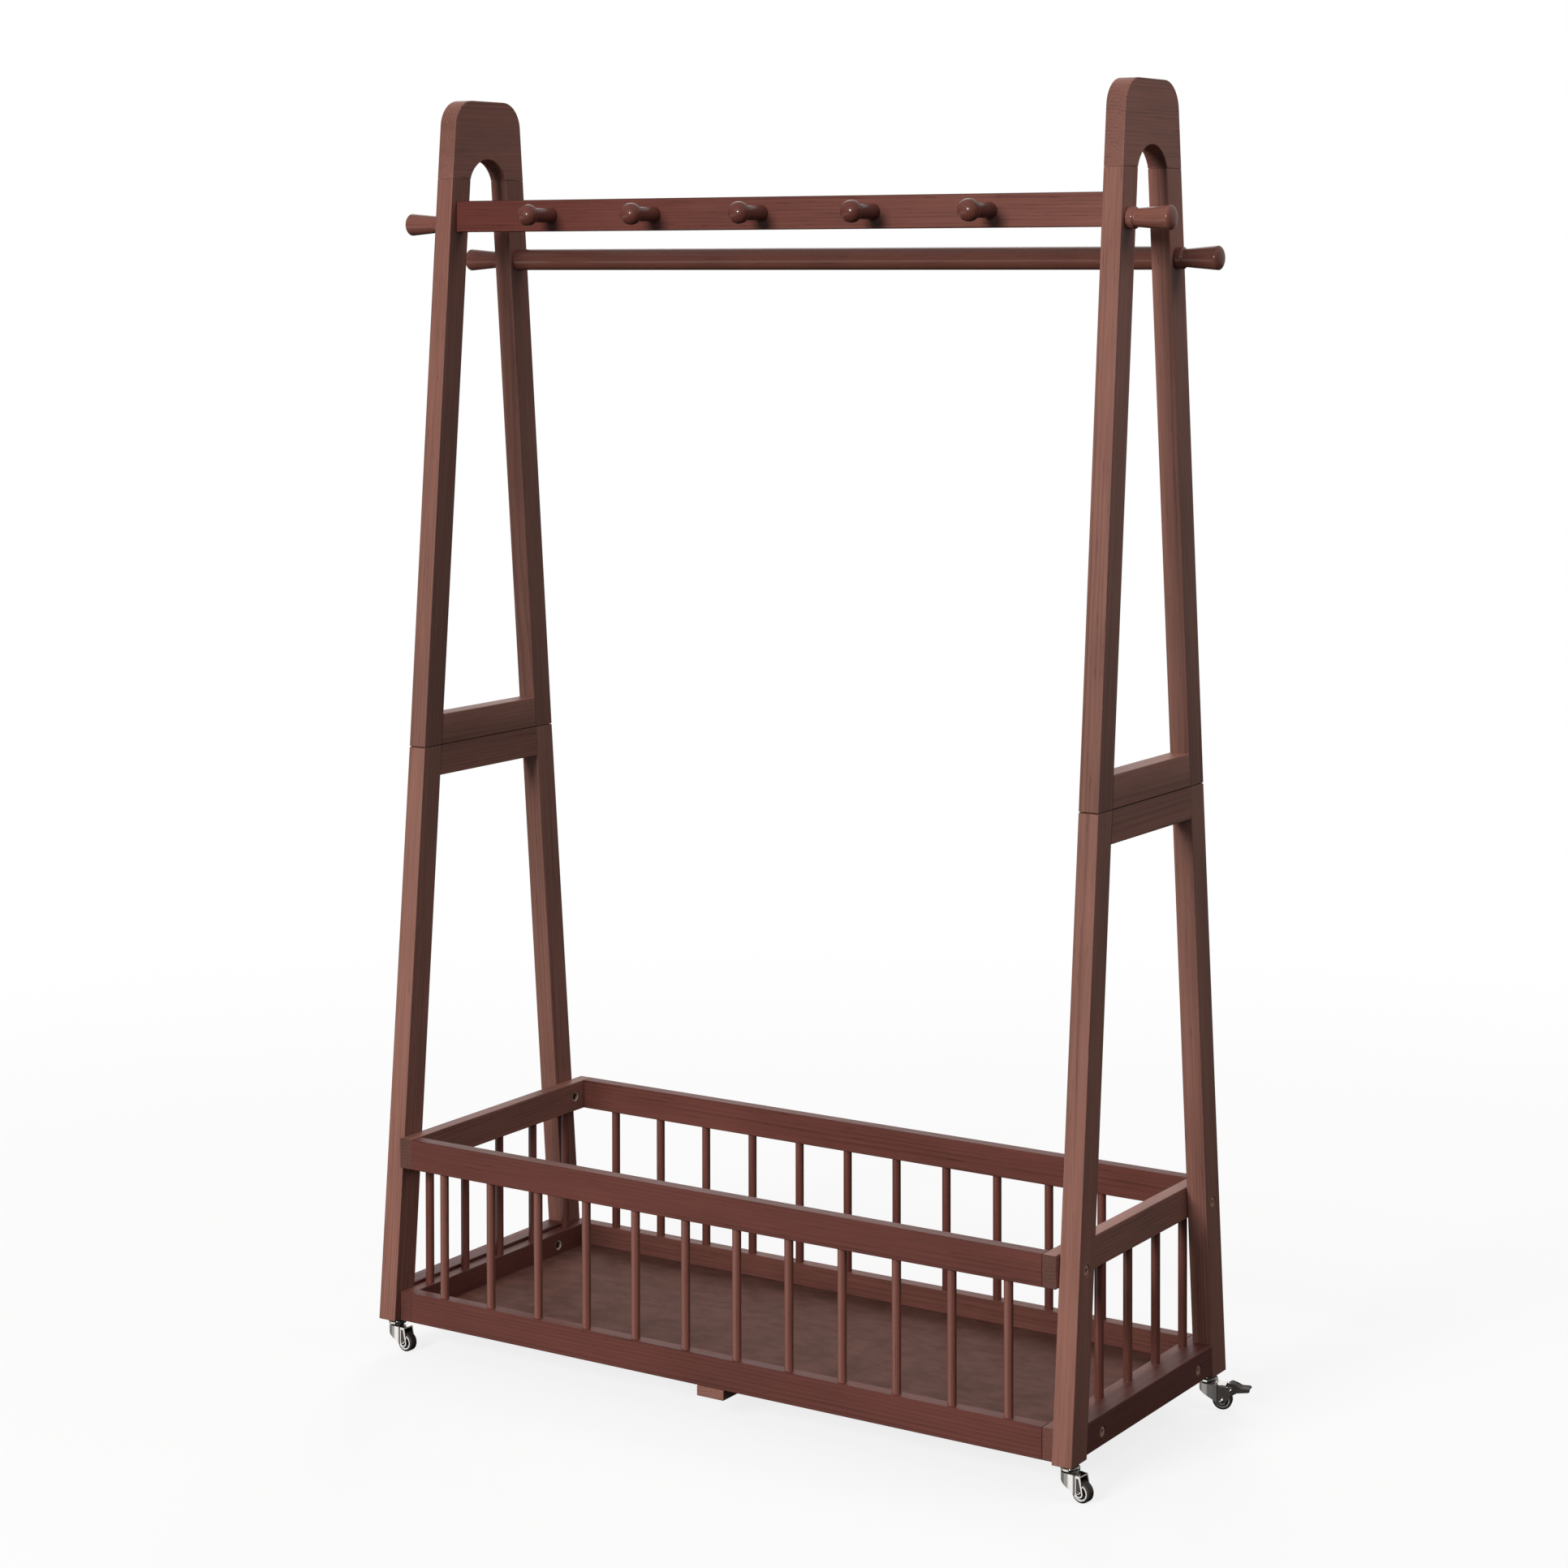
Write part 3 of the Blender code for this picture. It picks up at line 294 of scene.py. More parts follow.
# %% Metals and mouldings
def speckled(name, dark, light, cells, roughness, relief=0.0, **constants):
    """A finish whose colour and roughness wander between two values in cells of a size in mm."""
    made, tree, shader = new_material(name, **constants)
    place = node(tree, "TexCoord", out="Object")
    grain = node(tree, "TexNoise", {"Vector": place, "Scale": 1000 / cells, "Detail": 3.0})
    share = node(tree, "MapRange", (grain, 0.3, 0.7), **SMOOTH)
    colour = node(tree, "Mix", {0: share, 6: rgba(dark), 7: rgba(light)}, out=2, data_type="RGBA")
    tree.links.new(colour, shader.inputs["Base Color"])
    rough = node(tree, "MapRange", (grain, 0.3, 0.7, *roughness), **SMOOTH)
    tree.links.new(rough, shader.inputs["Roughness"])
    if relief:
        bump = node(tree, "Bump", {"Strength": 0.5, "Distance": relief, "Height": grain})
        tree.links.new(bump, shader.inputs["Normal"])
    return made


nickel = speckled("Turned steel, bright nickel", "CFCAC3", "DEDAD4", 2.5, (0.1, 0.16), metallic=1.0)
bronzed = speckled("Bolt steel, bronzed", "B58E7C", "DDB3A0", 2.0, (0.3, 0.42), metallic=0.2)
zinc = speckled("Sleeve nut steel, dull zinc", "C9C2B6", "E6DFD2", 2.0, (0.4, 0.5), metallic=0.4)
tread = speckled("Tyre elastomer, grey-brown", "241F1C", "3E3530", 1.6, (0.5, 0.68), 0.00006)
nylon = speckled("Hub nylon, black", "0B0A0A", "171514", 1.2, (0.3, 0.42), 0.00002)
white_nylon = speckled("Rim nylon, white", "ECEAE6", "F6F4F1", 1.2, (0.35, 0.45))
lever_nylon = speckled("Lever nylon, grey-brown", "332A26", "4A403A", 0.9, (0.42, 0.58), 0.00004)
print("seven finishes from one recipe")

# %% [markdown]
# ### Pressed steel
# The forks are pressed from steel sheet with bright nickel, polished by the press and a little scuffed. Their
# bands of light and dark are painted reflections. Over the skirt the colour goes from a painted dark
# reflection at the front to bright nickel. It turns dark again in the fold where an arm begins and bright at
# the flange, and it is dark on the arm's recessed web. The dark parts are also rougher. The recipe reads
# these bands from the attribute "place", a point's position from the stem before the fork is turned to its
# heading, and the webs from the attribute "web", because a pattern on Object coordinates would lie across the
# four forks at four different angles.

# %% Pressed steel
SKIRT_PAINTED_DARK = (0.0005, 0.0045)  # metres from the stem to the wheel, over which the painted dark reflection on the skirt fades to bright
FOLD_DARK, FLANGE_BRIGHT = (0.0085, 0.0106), 0.0118  # where a painted dark reflection covers the fold, and where it ends at the bright flange
SCUFF_CELLS = 900.0  # a metre
# Painted reflections: the colour mixes from bright nickel to dark where the bands say.
pressed, tree, shader = new_material("Pressed steel, bright nickel with painted dark reflections", metallic=1.0)
web = node(tree, "Attribute", out="Fac", attribute_name="web")
own_place = node(tree, "Attribute", out="Vector", attribute_name="place")
along = node(tree, "SeparateXYZ", (own_place,), out="X")
# Painted dark reflections on the skirt's front, in the fold and on the webs; dull also makes them rougher.
skirt_painted_dark = node(tree, "MapRange", (along, *SKIRT_PAINTED_DARK, 0.62, 0.0), **SMOOTH)
fold_in = node(tree, "MapRange", (along, *FOLD_DARK), **SMOOTH)
fold_out = node(tree, "MapRange", (along, FOLD_DARK[1], FLANGE_BRIGHT, 0.85, 0.0), **SMOOTH)
fold = node(tree, "Math", (fold_in, fold_out), operation="MULTIPLY")
dull = node(tree, "Math", (skirt_painted_dark, fold), operation="MAXIMUM")
dull = node(tree, "Math", (dull, web), operation="MAXIMUM")
scuffs = node(tree, "TexNoise", {"Vector": own_place, "Scale": SCUFF_CELLS, "Detail": 3.0})
scuffs = node(tree, "MapRange", (scuffs, 0.2, 0.8, 0.85, 1.0), **SMOOTH)
dull = node(tree, "Math", (dull, scuffs), operation="MULTIPLY")
colour = node(tree, "Mix", {0: dull, 6: rgba("E4E0DB"), 7: rgba("4E433D")}, out=2, data_type="RGBA")
tree.links.new(colour, shader.inputs["Base Color"])
rough = node(tree, "Math", (dull, 0.28, 0.12), operation="MULTIPLY_ADD")
tree.links.new(rough, shader.inputs["Roughness"])
print("the skirt turns bright", SKIRT_PAINTED_DARK[1] * 1000, "mm from the stem")

# %% [markdown]
# ## Shapes
# Almost everything here is a ring of points carried along a line. `rounded` makes the ring: an outline whose
# corners are arcs. `skin` puts quads between the rings. `carried` draws the first and last rings in along a
# quarter circle, which is what a sanded edge looks like.

# %% Outlines
def unit(vectors):
    """Vectors divided by their own lengths."""
    return vectors / np.linalg.norm(vectors, axis=-1, keepdims=True)


def arc(centre, radius, start, stop, steps):
    """Points on a circle between two angles."""
    angle = np.linspace(start, stop, steps + 1)
    return np.stack([centre[0] + radius * np.cos(angle), centre[1] + radius * np.sin(angle)], -1)


def rounded(corners, radii, steps=5):
    """Turn each corner of an anticlockwise outline with an arc that touches both its sides.

    With unit directions b and n to the corners before and after, and h half the angle between them, the
    arc's centre lies r / sin(h) along b + n, and the arc starts r / tan(h) along b.
    """
    corners = np.asarray(corners, float)
    radii = np.broadcast_to(np.maximum(radii, 1e-5), len(corners))[:, None]
    back = unit(np.roll(corners, 1, 0) - corners)
    on = unit(np.roll(corners, -1, 0) - corners)
    half = np.arccos(np.clip((back * on).sum(1), -1, 1))[:, None] / 2
    centre = corners + unit(back + on) * radii / np.sin(half)
    start = corners + back * radii / np.tan(half) - centre
    stop = corners + on * radii / np.tan(half) - centre
    turn = np.arctan2(start[:, 0] * stop[:, 1] - start[:, 1] * stop[:, 0], (start * stop).sum(1))
    angle = np.arctan2(start[:, 1], start[:, 0])[:, None] + turn[:, None] * np.linspace(0, 1, steps + 1)
    arms = np.stack([np.cos(angle), np.sin(angle)], -1)
    return (centre[:, None] + radii[:, None] * arms).reshape(-1, 2)


def normals_of(outline):
    """Outward normals of an anticlockwise outline, from the chord across each point."""
    chord = unit(np.roll(outline, -1, 0) - np.roll(outline, 1, 0))
    return np.stack([chord[:, 1], -chord[:, 0]], -1)


def rectangle(low, high, radius, steps=4):
    """A rectangle's outline with its corners rounded."""
    corners = [(low[0], low[1]), (high[0], low[1]), (high[0], high[1]), (low[0], high[1])]
    return rounded(corners, radius, steps)


print("a rounded square has", len(rectangle((0, 0), (1, 1), 0.1)), "points")

# %% [markdown]
# A planed bar, a turned knob and a bored hole's cutter are all rings of points joined by quads. The seams are
# closed by merging points that coincide, and then the faces are made to point outwards, because a mirrored
# ring would turn them inside out.

# %% Skins
MERGED = 1e-6  # points nearer than this are one point
AXES = {"x": (1, 2, 0), "y": (2, 0, 1), "z": (0, 1, 2)}  # outline's two axes and the one it is carried along


def skin(name, rings, looped=False):
    """A closed mesh from rings of points (rings, points, 3): quads between them and a face on each end."""
    rows, columns = rings.shape[:2]
    index = np.arange(rows * columns).reshape(rows, columns)
    steps = np.vstack([index, index[:1]]) if looped else index
    below, above = steps[:-1], steps[1:]
    quads = np.stack([below, np.roll(below, -1, 1), np.roll(above, -1, 1), above], -1)
    faces = quads.reshape(-1, 4).tolist()
    if not looped:
        faces += [index[0, ::-1].tolist(), index[-1].tolist()]
    mesh = bpy.data.meshes.new(name)
    mesh.from_pydata(rings.reshape(-1, 3).tolist(), [], faces)
    shell = bmesh.new()
    shell.from_mesh(mesh)
    bmesh.ops.remove_doubles(shell, verts=shell.verts, dist=MERGED)
    bmesh.ops.recalc_face_normals(shell, faces=shell.faces)
    shell.to_mesh(mesh)
    shell.free()
    return mesh


def carried(outline, along, low, high, edge, steps=3):
    """Carry an outline along an axis, with both ends drawn in over a quarter circle of radius edge.

    Station k lies edge (1 - cos a) from the end and is drawn in by edge (1 - sin a), a from 0 to 90 degrees.
    """
    a = np.linspace(0, np.pi / 2, steps + 1)
    back = edge * (1 - np.cos(a))
    inset = edge * (1 - np.sin(a))
    stations = np.concatenate([low + back, high - back[::-1]])
    insets = np.concatenate([inset, inset[::-1]])
    ring = outline - insets[:, None, None] * normals_of(outline)
    points = np.empty((len(stations), len(outline), 3))
    first, second, third = AXES[along]
    points[..., first] = ring[..., 0]
    points[..., second] = ring[..., 1]
    points[..., third] = stations[:, None]
    return points


def turned(profile, sides):
    """Turn (radius, height) points round Z: x = r cos a, y = r sin a, z = h."""
    angle = np.linspace(0, 2 * np.pi, sides, endpoint=False)
    profile = np.asarray(profile)
    r, h = profile[:, :1], profile[:, 1:]
    return np.stack([r * np.cos(angle), r * np.sin(angle), h + 0 * angle], -1)


def placed(rings, matrix):
    """Move points by a 4 x 4 matrix."""
    matrix = np.array(matrix)
    return rings @ matrix[:3, :3].T + matrix[:3, 3]


bar = carried(rectangle((0, 0), (1, 1), 0.1), "z", 0, 1, 0.1)
print("a bar is", len(bar), "rings, half of them at each end")

# %% [markdown]
# Every piece becomes an object at the origin, with its place in its mesh. It gets its finish, shading that is
# smooth over arcs and crisp at folds and the body that it rides on, and the CAD nodes that it stands for are
# hidden.

# %% Finished pieces
SHARP = math.radians(38)


def finish_piece(name, mesh, finish, slot, body, *replaced):
    """Give a mesh its object, finish, even shading and body, and hide the CAD nodes that it stands for."""
    made = bpy.data.objects.new(name, mesh)
    bpy.context.scene.collection.objects.link(made)
    mesh.materials.clear()
    mesh.materials.append(finish)
    mesh.shade_smooth()
    mesh.set_sharp_from_angle(angle=SHARP)
    even = made.modifiers.new("Even shading", "WEIGHTED_NORMAL")
    even.keep_sharp = True
    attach(made, body)
    if replaced:
        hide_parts(*replaced)
    return made


print("sharp edges begin at", round(math.degrees(SHARP)), "degrees")

# %% [markdown]
# A drill and a press tool take a shape away or keep what two shapes share. A Boolean does the same to meshes,
# and its result is kept as a new mesh, so no modifier is left waiting.

# %% Cuts
CUT_SEGMENTS, CUT_ANGLE = 2, math.radians(30)


def cut(mesh, tool_mesh, operation="DIFFERENCE", bevel=0.0):
    """Apply a Boolean, and a bevel on its sharp edges, and return the new mesh."""
    target = bpy.data.objects.new("target", mesh)
    tool = bpy.data.objects.new("tool", tool_mesh)
    for made in (target, tool):
        bpy.context.scene.collection.objects.link(made)
    step = target.modifiers.new("Cut", "BOOLEAN")
    step.operation = operation
    step.solver = "EXACT"
    step.object = tool
    if bevel:
        soft = target.modifiers.new("Soft edges", "BEVEL")
        soft.width = bevel
        soft.segments = CUT_SEGMENTS
        soft.limit_method = "ANGLE"
        soft.angle_limit = CUT_ANGLE
    bpy.context.view_layer.update()
    result = bpy.data.meshes.new_from_object(target.evaluated_get(bpy.context.evaluated_depsgraph_get()))
    for made in (target, tool):
        bpy.data.objects.remove(made)
    return result


print("cuts soften edges over", round(math.degrees(CUT_ANGLE)), "degrees where a bevel is asked for")

# %% [markdown]
# No two pieces of wood are sawn from the same place in a plank, so each piece draws its own place from seeded
# dice and writes it to its points. The tone is paler or darker from piece to piece and may change along one
# piece, at random and as painted light. The stain gathers on end grain, and painted shade darkens eased edges
# and the groove of the joint.

# %% Pieces of wood
WOOD_SEED = 11
wood_dice = np.random.default_rng(WOOD_SEED)
PLANK_LENGTH = 40.0  # metres of tree that pieces may come from, so that no two share a pattern
HEART_NEAR, HEART_FAR = 0.018, 0.05  # metres from the piece's middle to the heart of the log
TONE_SPREAD = 0.06
JOINT_SHADE = 1.45  # how dark the painted shade in the joint's groove is, where 1 is an edge or end grain
GROOVE = 0.0019  # half the width of the painted shade line where two eased edges meet


def mark_grain(mesh, along, tone, edge=0.0, end=0.0, lean=0.0, drift=0.0, seam=None):
    """Write where each point lay in its plank: fibres along x, and the heart some centimetres away.

    Also written are the tone, which drifts along the piece (on the legs as painted light), and where the
    colour is darker: end on end grain, where the stain soaks in deeper, and painted shade, edge times how
    oblique a point's normal is on edges that face up, down or back, darkest in the groove at the height of a
    seam.
    """
    first, second, third = AXES[along]
    points = np.empty(len(mesh.vertices) * 3)
    mesh.vertices.foreach_get("co", points)
    points = points.reshape(-1, 3)
    normals = np.empty(len(mesh.vertices) * 3)
    mesh.vertex_normals.foreach_get("vector", normals)
    normals = normals.reshape(-1, 3)
    # On a flat face the greatest part of the unit normal is 1, so oblique is 0 there and over 0 on an eased
    # edge. The part along the piece is near 1 on end grain only.
    oblique = np.clip((0.985 - np.abs(normals).max(1)) * 10, 0, 1)
    # Painted shade: an eased edge is darkened only where it faces up, down or back.
    turned_away = np.clip(np.maximum(np.abs(normals[:, 2]), normals[:, 1]) * 3 - 0.6, 0, 1)
    line = edge * oblique * turned_away + end * np.clip(np.abs(normals[:, third]) * 3 - 1.6, 0, 1)
    # Painted shade in the groove at the height of the seam.
    if seam is not None:
        line = np.maximum(line, JOINT_SHADE * np.clip(1 - np.abs(points[:, 2] - seam) / GROOVE, 0, 1))
    points[:, 1] += lean * LEAN * points[:, 2]
    points -= (points.min(0) + points.max(0)) / 2
    bearing = wood_dice.uniform(0, 2 * np.pi)
    heart = wood_dice.uniform(HEART_NEAR, HEART_FAR)
    shift = (wood_dice.uniform(0, PLANK_LENGTH), heart * math.cos(bearing), heart * math.sin(bearing))
    grain = points[:, (third, first, second)] + shift
    mesh.attributes.new("grain", "FLOAT_VECTOR", "POINT").data.foreach_set("vector", grain.ravel())
    tone = tone + wood_dice.uniform(-TONE_SPREAD, TONE_SPREAD)
    tones = tone + drift * points[:, third] / np.abs(points[:, third]).max()
    mesh.attributes.new("tone", "FLOAT", "POINT").data.foreach_set("value", tones)
    mesh.attributes.new("stain_and_shade_line", "FLOAT", "POINT").data.foreach_set("value", line)


def wooden(name, rings, along, tone, replaced=(), holes=(), finish=planed_pine, slot="stained_pine", **stain_and_shade):
    """A piece of wood on the rack's own body, bored where it has holes."""
    mesh = skin(name, rings)
    for hole in holes:
        mesh = cut(mesh, skin("bore", hole))
    mark_grain(mesh, along, tone, **stain_and_shade)
    return finish_piece(name, mesh, finish, slot, "rack", *replaced)


TURNED = {"finish": turned_pine, "slot": "turned_pine"}
print("grain for pieces whose heart lies", HEART_NEAR * 1000, "to", HEART_FAR * 1000, "mm away")

# %% [markdown]
# ## End frames
# A leg is a planed bar of 38 x 26 mm with its edges eased by about a millimetre. It leans, and its ends are
# sawn level. Where the upper frame stands on the lower one the outer corners are cut back, which leaves the
# small notch at the joint.

# %% Shape of a leg
LEG_EDGE = 0.0012
NOTCH_DEPTH, NOTCH_HEIGHT = 0.004, 0.0018


def leg(side, way, low, high, notched_end):
    """A bar's section carried up while its depth follows the leaning line: y = way (outer line - half width).

    Near the notched end the outer half of the section is drawn in by the notch's depth.
    """
    outline = rectangle((FRAME_IN, -LEG_WIDTH / 2), (FRAME_OUT, LEG_WIDTH / 2), LEG_EDGE)
    rings = carried(outline, "z", low, high, NOTCH_HEIGHT / 2)
    near = np.clip(1 - np.abs(rings[..., 2] - notched_end) / NOTCH_HEIGHT, 0, 1)
    rings[..., 1] -= np.where(rings[..., 1] > 0, near * NOTCH_DEPTH, 0)
    rings[..., 1] = way * (rings[..., 1] + outer_line(rings[..., 2]) - LEG_WIDTH / 2)
    rings[..., 0] *= side
    return rings


print("a leg is", round(1000 * (FRAME_OUT - FRAME_IN), 1), "x", round(1000 * LEG_WIDTH, 1), "mm")

# %% [markdown]
# The basket is bolted on through the lower legs and the foot rails. Each bolt's head lies in a round pocket
# with an eased mouth, so its cutter is a turned shape, laid along x.

# %% Bolt pockets
BOLT_HEAD = 0.0062
BOLT_SUNK = 0.0008
BOLT_HOLE = BOLT_HEAD + 0.0005
BOLT_POCKET = 0.006
UPPER_BOLT_LEVEL = TOP_SLAT_HIGH - 0.019
LOWER_BOLT_LEVEL = FOOT_LEVEL + 0.020
UPPER_BOLT_DEPTH = outer_line(UPPER_BOLT_LEVEL) - LEG_WIDTH / 2
LOWER_BOLT_DEPTH = 0.125
BOLTS = {"upper": (UPPER_BOLT_DEPTH, UPPER_BOLT_LEVEL), "lower": (LOWER_BOLT_DEPTH, LOWER_BOLT_LEVEL)}
HOLE_SIDES = 40
HOLE_EDGE = 0.0004
CLEAR = 0.001  # how far a cutter stands out of the face that it cuts


def across(x, y, z, way):
    """Matrix that lays a turned shape's Z along X from a point, towards way."""
    return Matrix.Translation((x, y, z)) @ Matrix.Rotation(way * math.pi / 2, 4, "Y")


def pocket(x, y, z, way, radius, depth):
    """Cutter for a round flat-bottomed hole with an eased mouth that goes into a face towards way."""
    mouth = radius + HOLE_EDGE
    profile = [(mouth, -CLEAR), (mouth, 0.0), (radius, HOLE_EDGE), (radius, depth)]
    return placed(turned(profile, HOLE_SIDES), across(x, y, z, way))


print("upper bolts at", round(UPPER_BOLT_LEVEL, 3), "m, lower bolts at", round(LOWER_BOLT_LEVEL, 3), "m")

# %% [markdown]
# In the photograph the legs are evenly light from foot to head, and the lamps of this scene leave them darker
# near the joint at mid height. So each leg's colour is painted paler towards that joint: painted light.

# %% Legs
LOWER_LEG_TONE = {"left": 1.35, "right": 1.2}
UPPER_LEG_TONE = {"left": 1.2, "right": 1.23}
LOWER_LEG_DRIFT = 0.3  # how a lower leg's tone changes from its middle to its top, as painted light
# Painted light: an upper leg's tone falls from its middle to its top, so it is paler near the joint.
UPPER_LEG_DRIFT = {"left": -0.45, "right": -0.3}

for end, side in SIDES.items():
    for way_name, way in WAYS.items():
        place = (side * FRAME_OUT, way * UPPER_BOLT_DEPTH, UPPER_BOLT_LEVEL)
        hole = pocket(*place, -side, BOLT_HOLE, BOLT_POCKET)
        rings = leg(side, way, FOOT_LEVEL, JOINT_LEVEL - SEAM, JOINT_LEVEL - SEAM)
        name = f"{end}_lower_{way_name}_leg"
        wooden(f"{name}_planed", rings, "z", LOWER_LEG_TONE[end], [name], [hole],
               lean=way, drift=LOWER_LEG_DRIFT, seam=JOINT_LEVEL)
        rings = leg(side, way, JOINT_LEVEL, GLUE_LEVEL - SEAM / 3, JOINT_LEVEL)
        name = f"{end}_upper_{way_name}_leg"
        wooden(f"{name}_planed", rings, "z", UPPER_LEG_TONE[end], [name],
               lean=way, drift=UPPER_LEG_DRIFT[end], seam=JOINT_LEVEL)
print("eight legs, each leaning", round(math.degrees(math.atan(LEAN)), 1), "degrees")

# %% [markdown]
# A rail fits between two legs, so its ends are sawn to their slope. The ring of points goes round the rail's
# section, and each point's depth is worked out from its own height.

# %% Rails
RAIL_EDGE = 0.0012
# Painted light and shade: the foot rail's tone is darker near the floor, the upper rail's paler.
RAIL_TONE = {"foot_rail": 0.2, "lower_top_rail": 1.0, "upper_rail": 1.25}


def rail(side, low, high):
    """Two rings, one at each leg: y = +-(inner line at z - seam)."""
    outline = rectangle((low, FRAME_IN), (high, FRAME_OUT), RAIL_EDGE)
    depth = inner_line(outline[:, 0]) - SEAM / 2
    plan = np.stack([side * outline[:, 1], depth, outline[:, 0]], -1)
    return np.stack([plan * (1, -1, 1), plan])


for end, side in SIDES.items():
    for part in ("foot_rail", "lower_top_rail", "upper_rail"):
        low, high = (corner.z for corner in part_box(f"{end}_{part}"))
        holes = []
        if part == "foot_rail":
            for way in WAYS.values():
                place = (side * FRAME_OUT, way * LOWER_BOLT_DEPTH, LOWER_BOLT_LEVEL)
                holes.append(pocket(*place, -side, BOLT_HOLE, BOLT_POCKET))
        wooden(f"{end}_{part}_planed", rail(side, low, high), "y", RAIL_TONE[part], [f"{end}_{part}"], holes,
               seam=JOINT_LEVEL)
print("six rails")

# %% [markdown]
# The head is one board with its grain across, bandsawn to an arch and shaped corners and glued on the two
# legs. Its outline is drawn once and carried through the thickness.

# %% Heads
HEAD_CORNER = 0.036
HEAD_EDGE = 0.0012
ARCH_RISE = 0.0266
ARCH_STEPS, CORNER_STEPS = 40, 14
HEAD_TONE = 0.95


def head_outline():
    """Over the top between two rounded corners, then back along a circle through both springs and the crown.

    A circle that rises by r over half a span s has the radius (s^2 + r^2) / 2r.
    """
    spring = inner_line(GLUE_LEVEL)
    foot, tip = outer_line(GLUE_LEVEL), outer_line(TOP_LEVEL)
    over = rounded([(foot, GLUE_LEVEL), (tip, TOP_LEVEL), (-tip, TOP_LEVEL), (-foot, GLUE_LEVEL)],
                   [0, HEAD_CORNER, HEAD_CORNER, 0], CORNER_STEPS)[CORNER_STEPS + 1 : -CORNER_STEPS - 1]
    radius = (spring**2 + ARCH_RISE**2) / (2 * ARCH_RISE)
    middle = GLUE_LEVEL + ARCH_RISE - radius
    reach = math.asin(min(1.0, spring / radius))
    under = arc((0, middle), radius, math.pi / 2 + reach, math.pi / 2 - reach, ARCH_STEPS)
    return np.concatenate([over, [(-foot, GLUE_LEVEL)], under, [(foot, GLUE_LEVEL)]])


for end, side in SIDES.items():
    rings = carried(head_outline(), "x", FRAME_IN, FRAME_OUT, HEAD_EDGE)
    rings[..., 2] = np.maximum(rings[..., 2], GLUE_LEVEL)
    rings[..., 0] *= side
    wooden(f"{end}_head_sawn", rings, "y", HEAD_TONE, [f"{end}_head"], end=0.5)
print("two heads of", len(head_outline()), "outline points")

# %% [markdown]
# ## Board, rod and pegs
# The board is planed and its long edges are eased, and the rod is a dowel. Both fit between the end frames,
# so both are one section carried from frame to frame, and the rod's ends are chamfered by a seam's width.

# %% Board and rod
BOARD_EDGE = 0.0016
BOARD_TONE, BOARD_DRIFT = 0.16, 0.22
ROD_TONE = 0.65
ROD_SIDES = 64
board_low, board_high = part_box("hook_board")
outline = rectangle((board_low.y, board_low.z), (board_high.y, board_high.z), BOARD_EDGE)
rings = carried(outline, "x", SEAM - FRAME_IN, FRAME_IN - SEAM, SEAM)
# Painted shade along the board's eased edges; its tone grows paler towards the right end.
wooden("hook_board_planed", rings, "x", BOARD_TONE, ["hook_board"], edge=0.9, drift=BOARD_DRIFT)
profile = [(ROD_RADIUS - SEAM, -ROD_END), (ROD_RADIUS, SEAM - ROD_END), (ROD_RADIUS, ROD_END - SEAM)]
rings = turned(profile + [(ROD_RADIUS - SEAM, ROD_END)], ROD_SIDES)
rings = placed(rings, across(0, ROD_DEPTH, ROD_LEVEL, 1))
wooden("hanging_rod_turned", rings, "x", ROD_TONE, ["hanging_rod"], **TURNED)
print(f"board {1000 * (board_high.z - board_low.z):.1f} mm high, rod {2000 * ROD_RADIUS:.0f} mm thick")

# %% [markdown]
# A hook is turned on a lathe: a tapering stem with a ball that stops a garment from sliding off. One profile
# spun round its axis gives the whole hook, and a half cosine gives the soft flare where it meets the board.

# %% Hooks
HOOK_COUNT = 5
HOOK_BALL = 0.0137
HOOK_REACH = 0.0489  # board face to the middle of the ball
HOOK_BASE, HOOK_STEM, HOOK_TAPER = 0.0101, 0.0092, 0.0147
HOOK_TONE = 0.2
PEG_SIDES = 56
NEARLY_POLE = math.radians(89)  # a dome stops just short of its pole, so that its cap is a small flat face


def hook_profile():
    """Stem: radius eases from base to stem by a half cosine. Ball: a circle of HOOK_BALL about HOOK_REACH."""
    meeting = math.asin(HOOK_STEM / HOOK_BALL)
    height = np.linspace(0, HOOK_TAPER, 9)
    ease = 0.5 + 0.5 * np.cos(np.pi * height / HOOK_TAPER)
    stem = np.stack([HOOK_STEM + (HOOK_BASE - HOOK_STEM) * ease, height], -1)
    ball = arc((0, HOOK_REACH), HOOK_BALL, meeting - math.pi / 2, NEARLY_POLE, 22)
    return np.concatenate([stem, ball])


board_level = (board_low.z + board_high.z) / 2
for number in range(1, HOOK_COUNT + 1):
    low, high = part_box(f"hook_peg_{number}")
    place = Matrix.Translation(((low.x + high.x) / 2, board_low.y - SEAM, board_level))
    rings = placed(turned(hook_profile(), PEG_SIDES), place @ Matrix.Rotation(math.pi / 2, 4, "X"))
    wooden(f"hook_{number}_turned", rings, "y", HOOK_TONE, [f"hook_peg_{number}"], **TURNED)

# %% [markdown]
# An end peg is also the knob of the stud that pulls the board or the rod tight: a collar, a groove and a
# flaring grip with a domed end. It is turned too, so its corners are rounded in one profile and then spun.

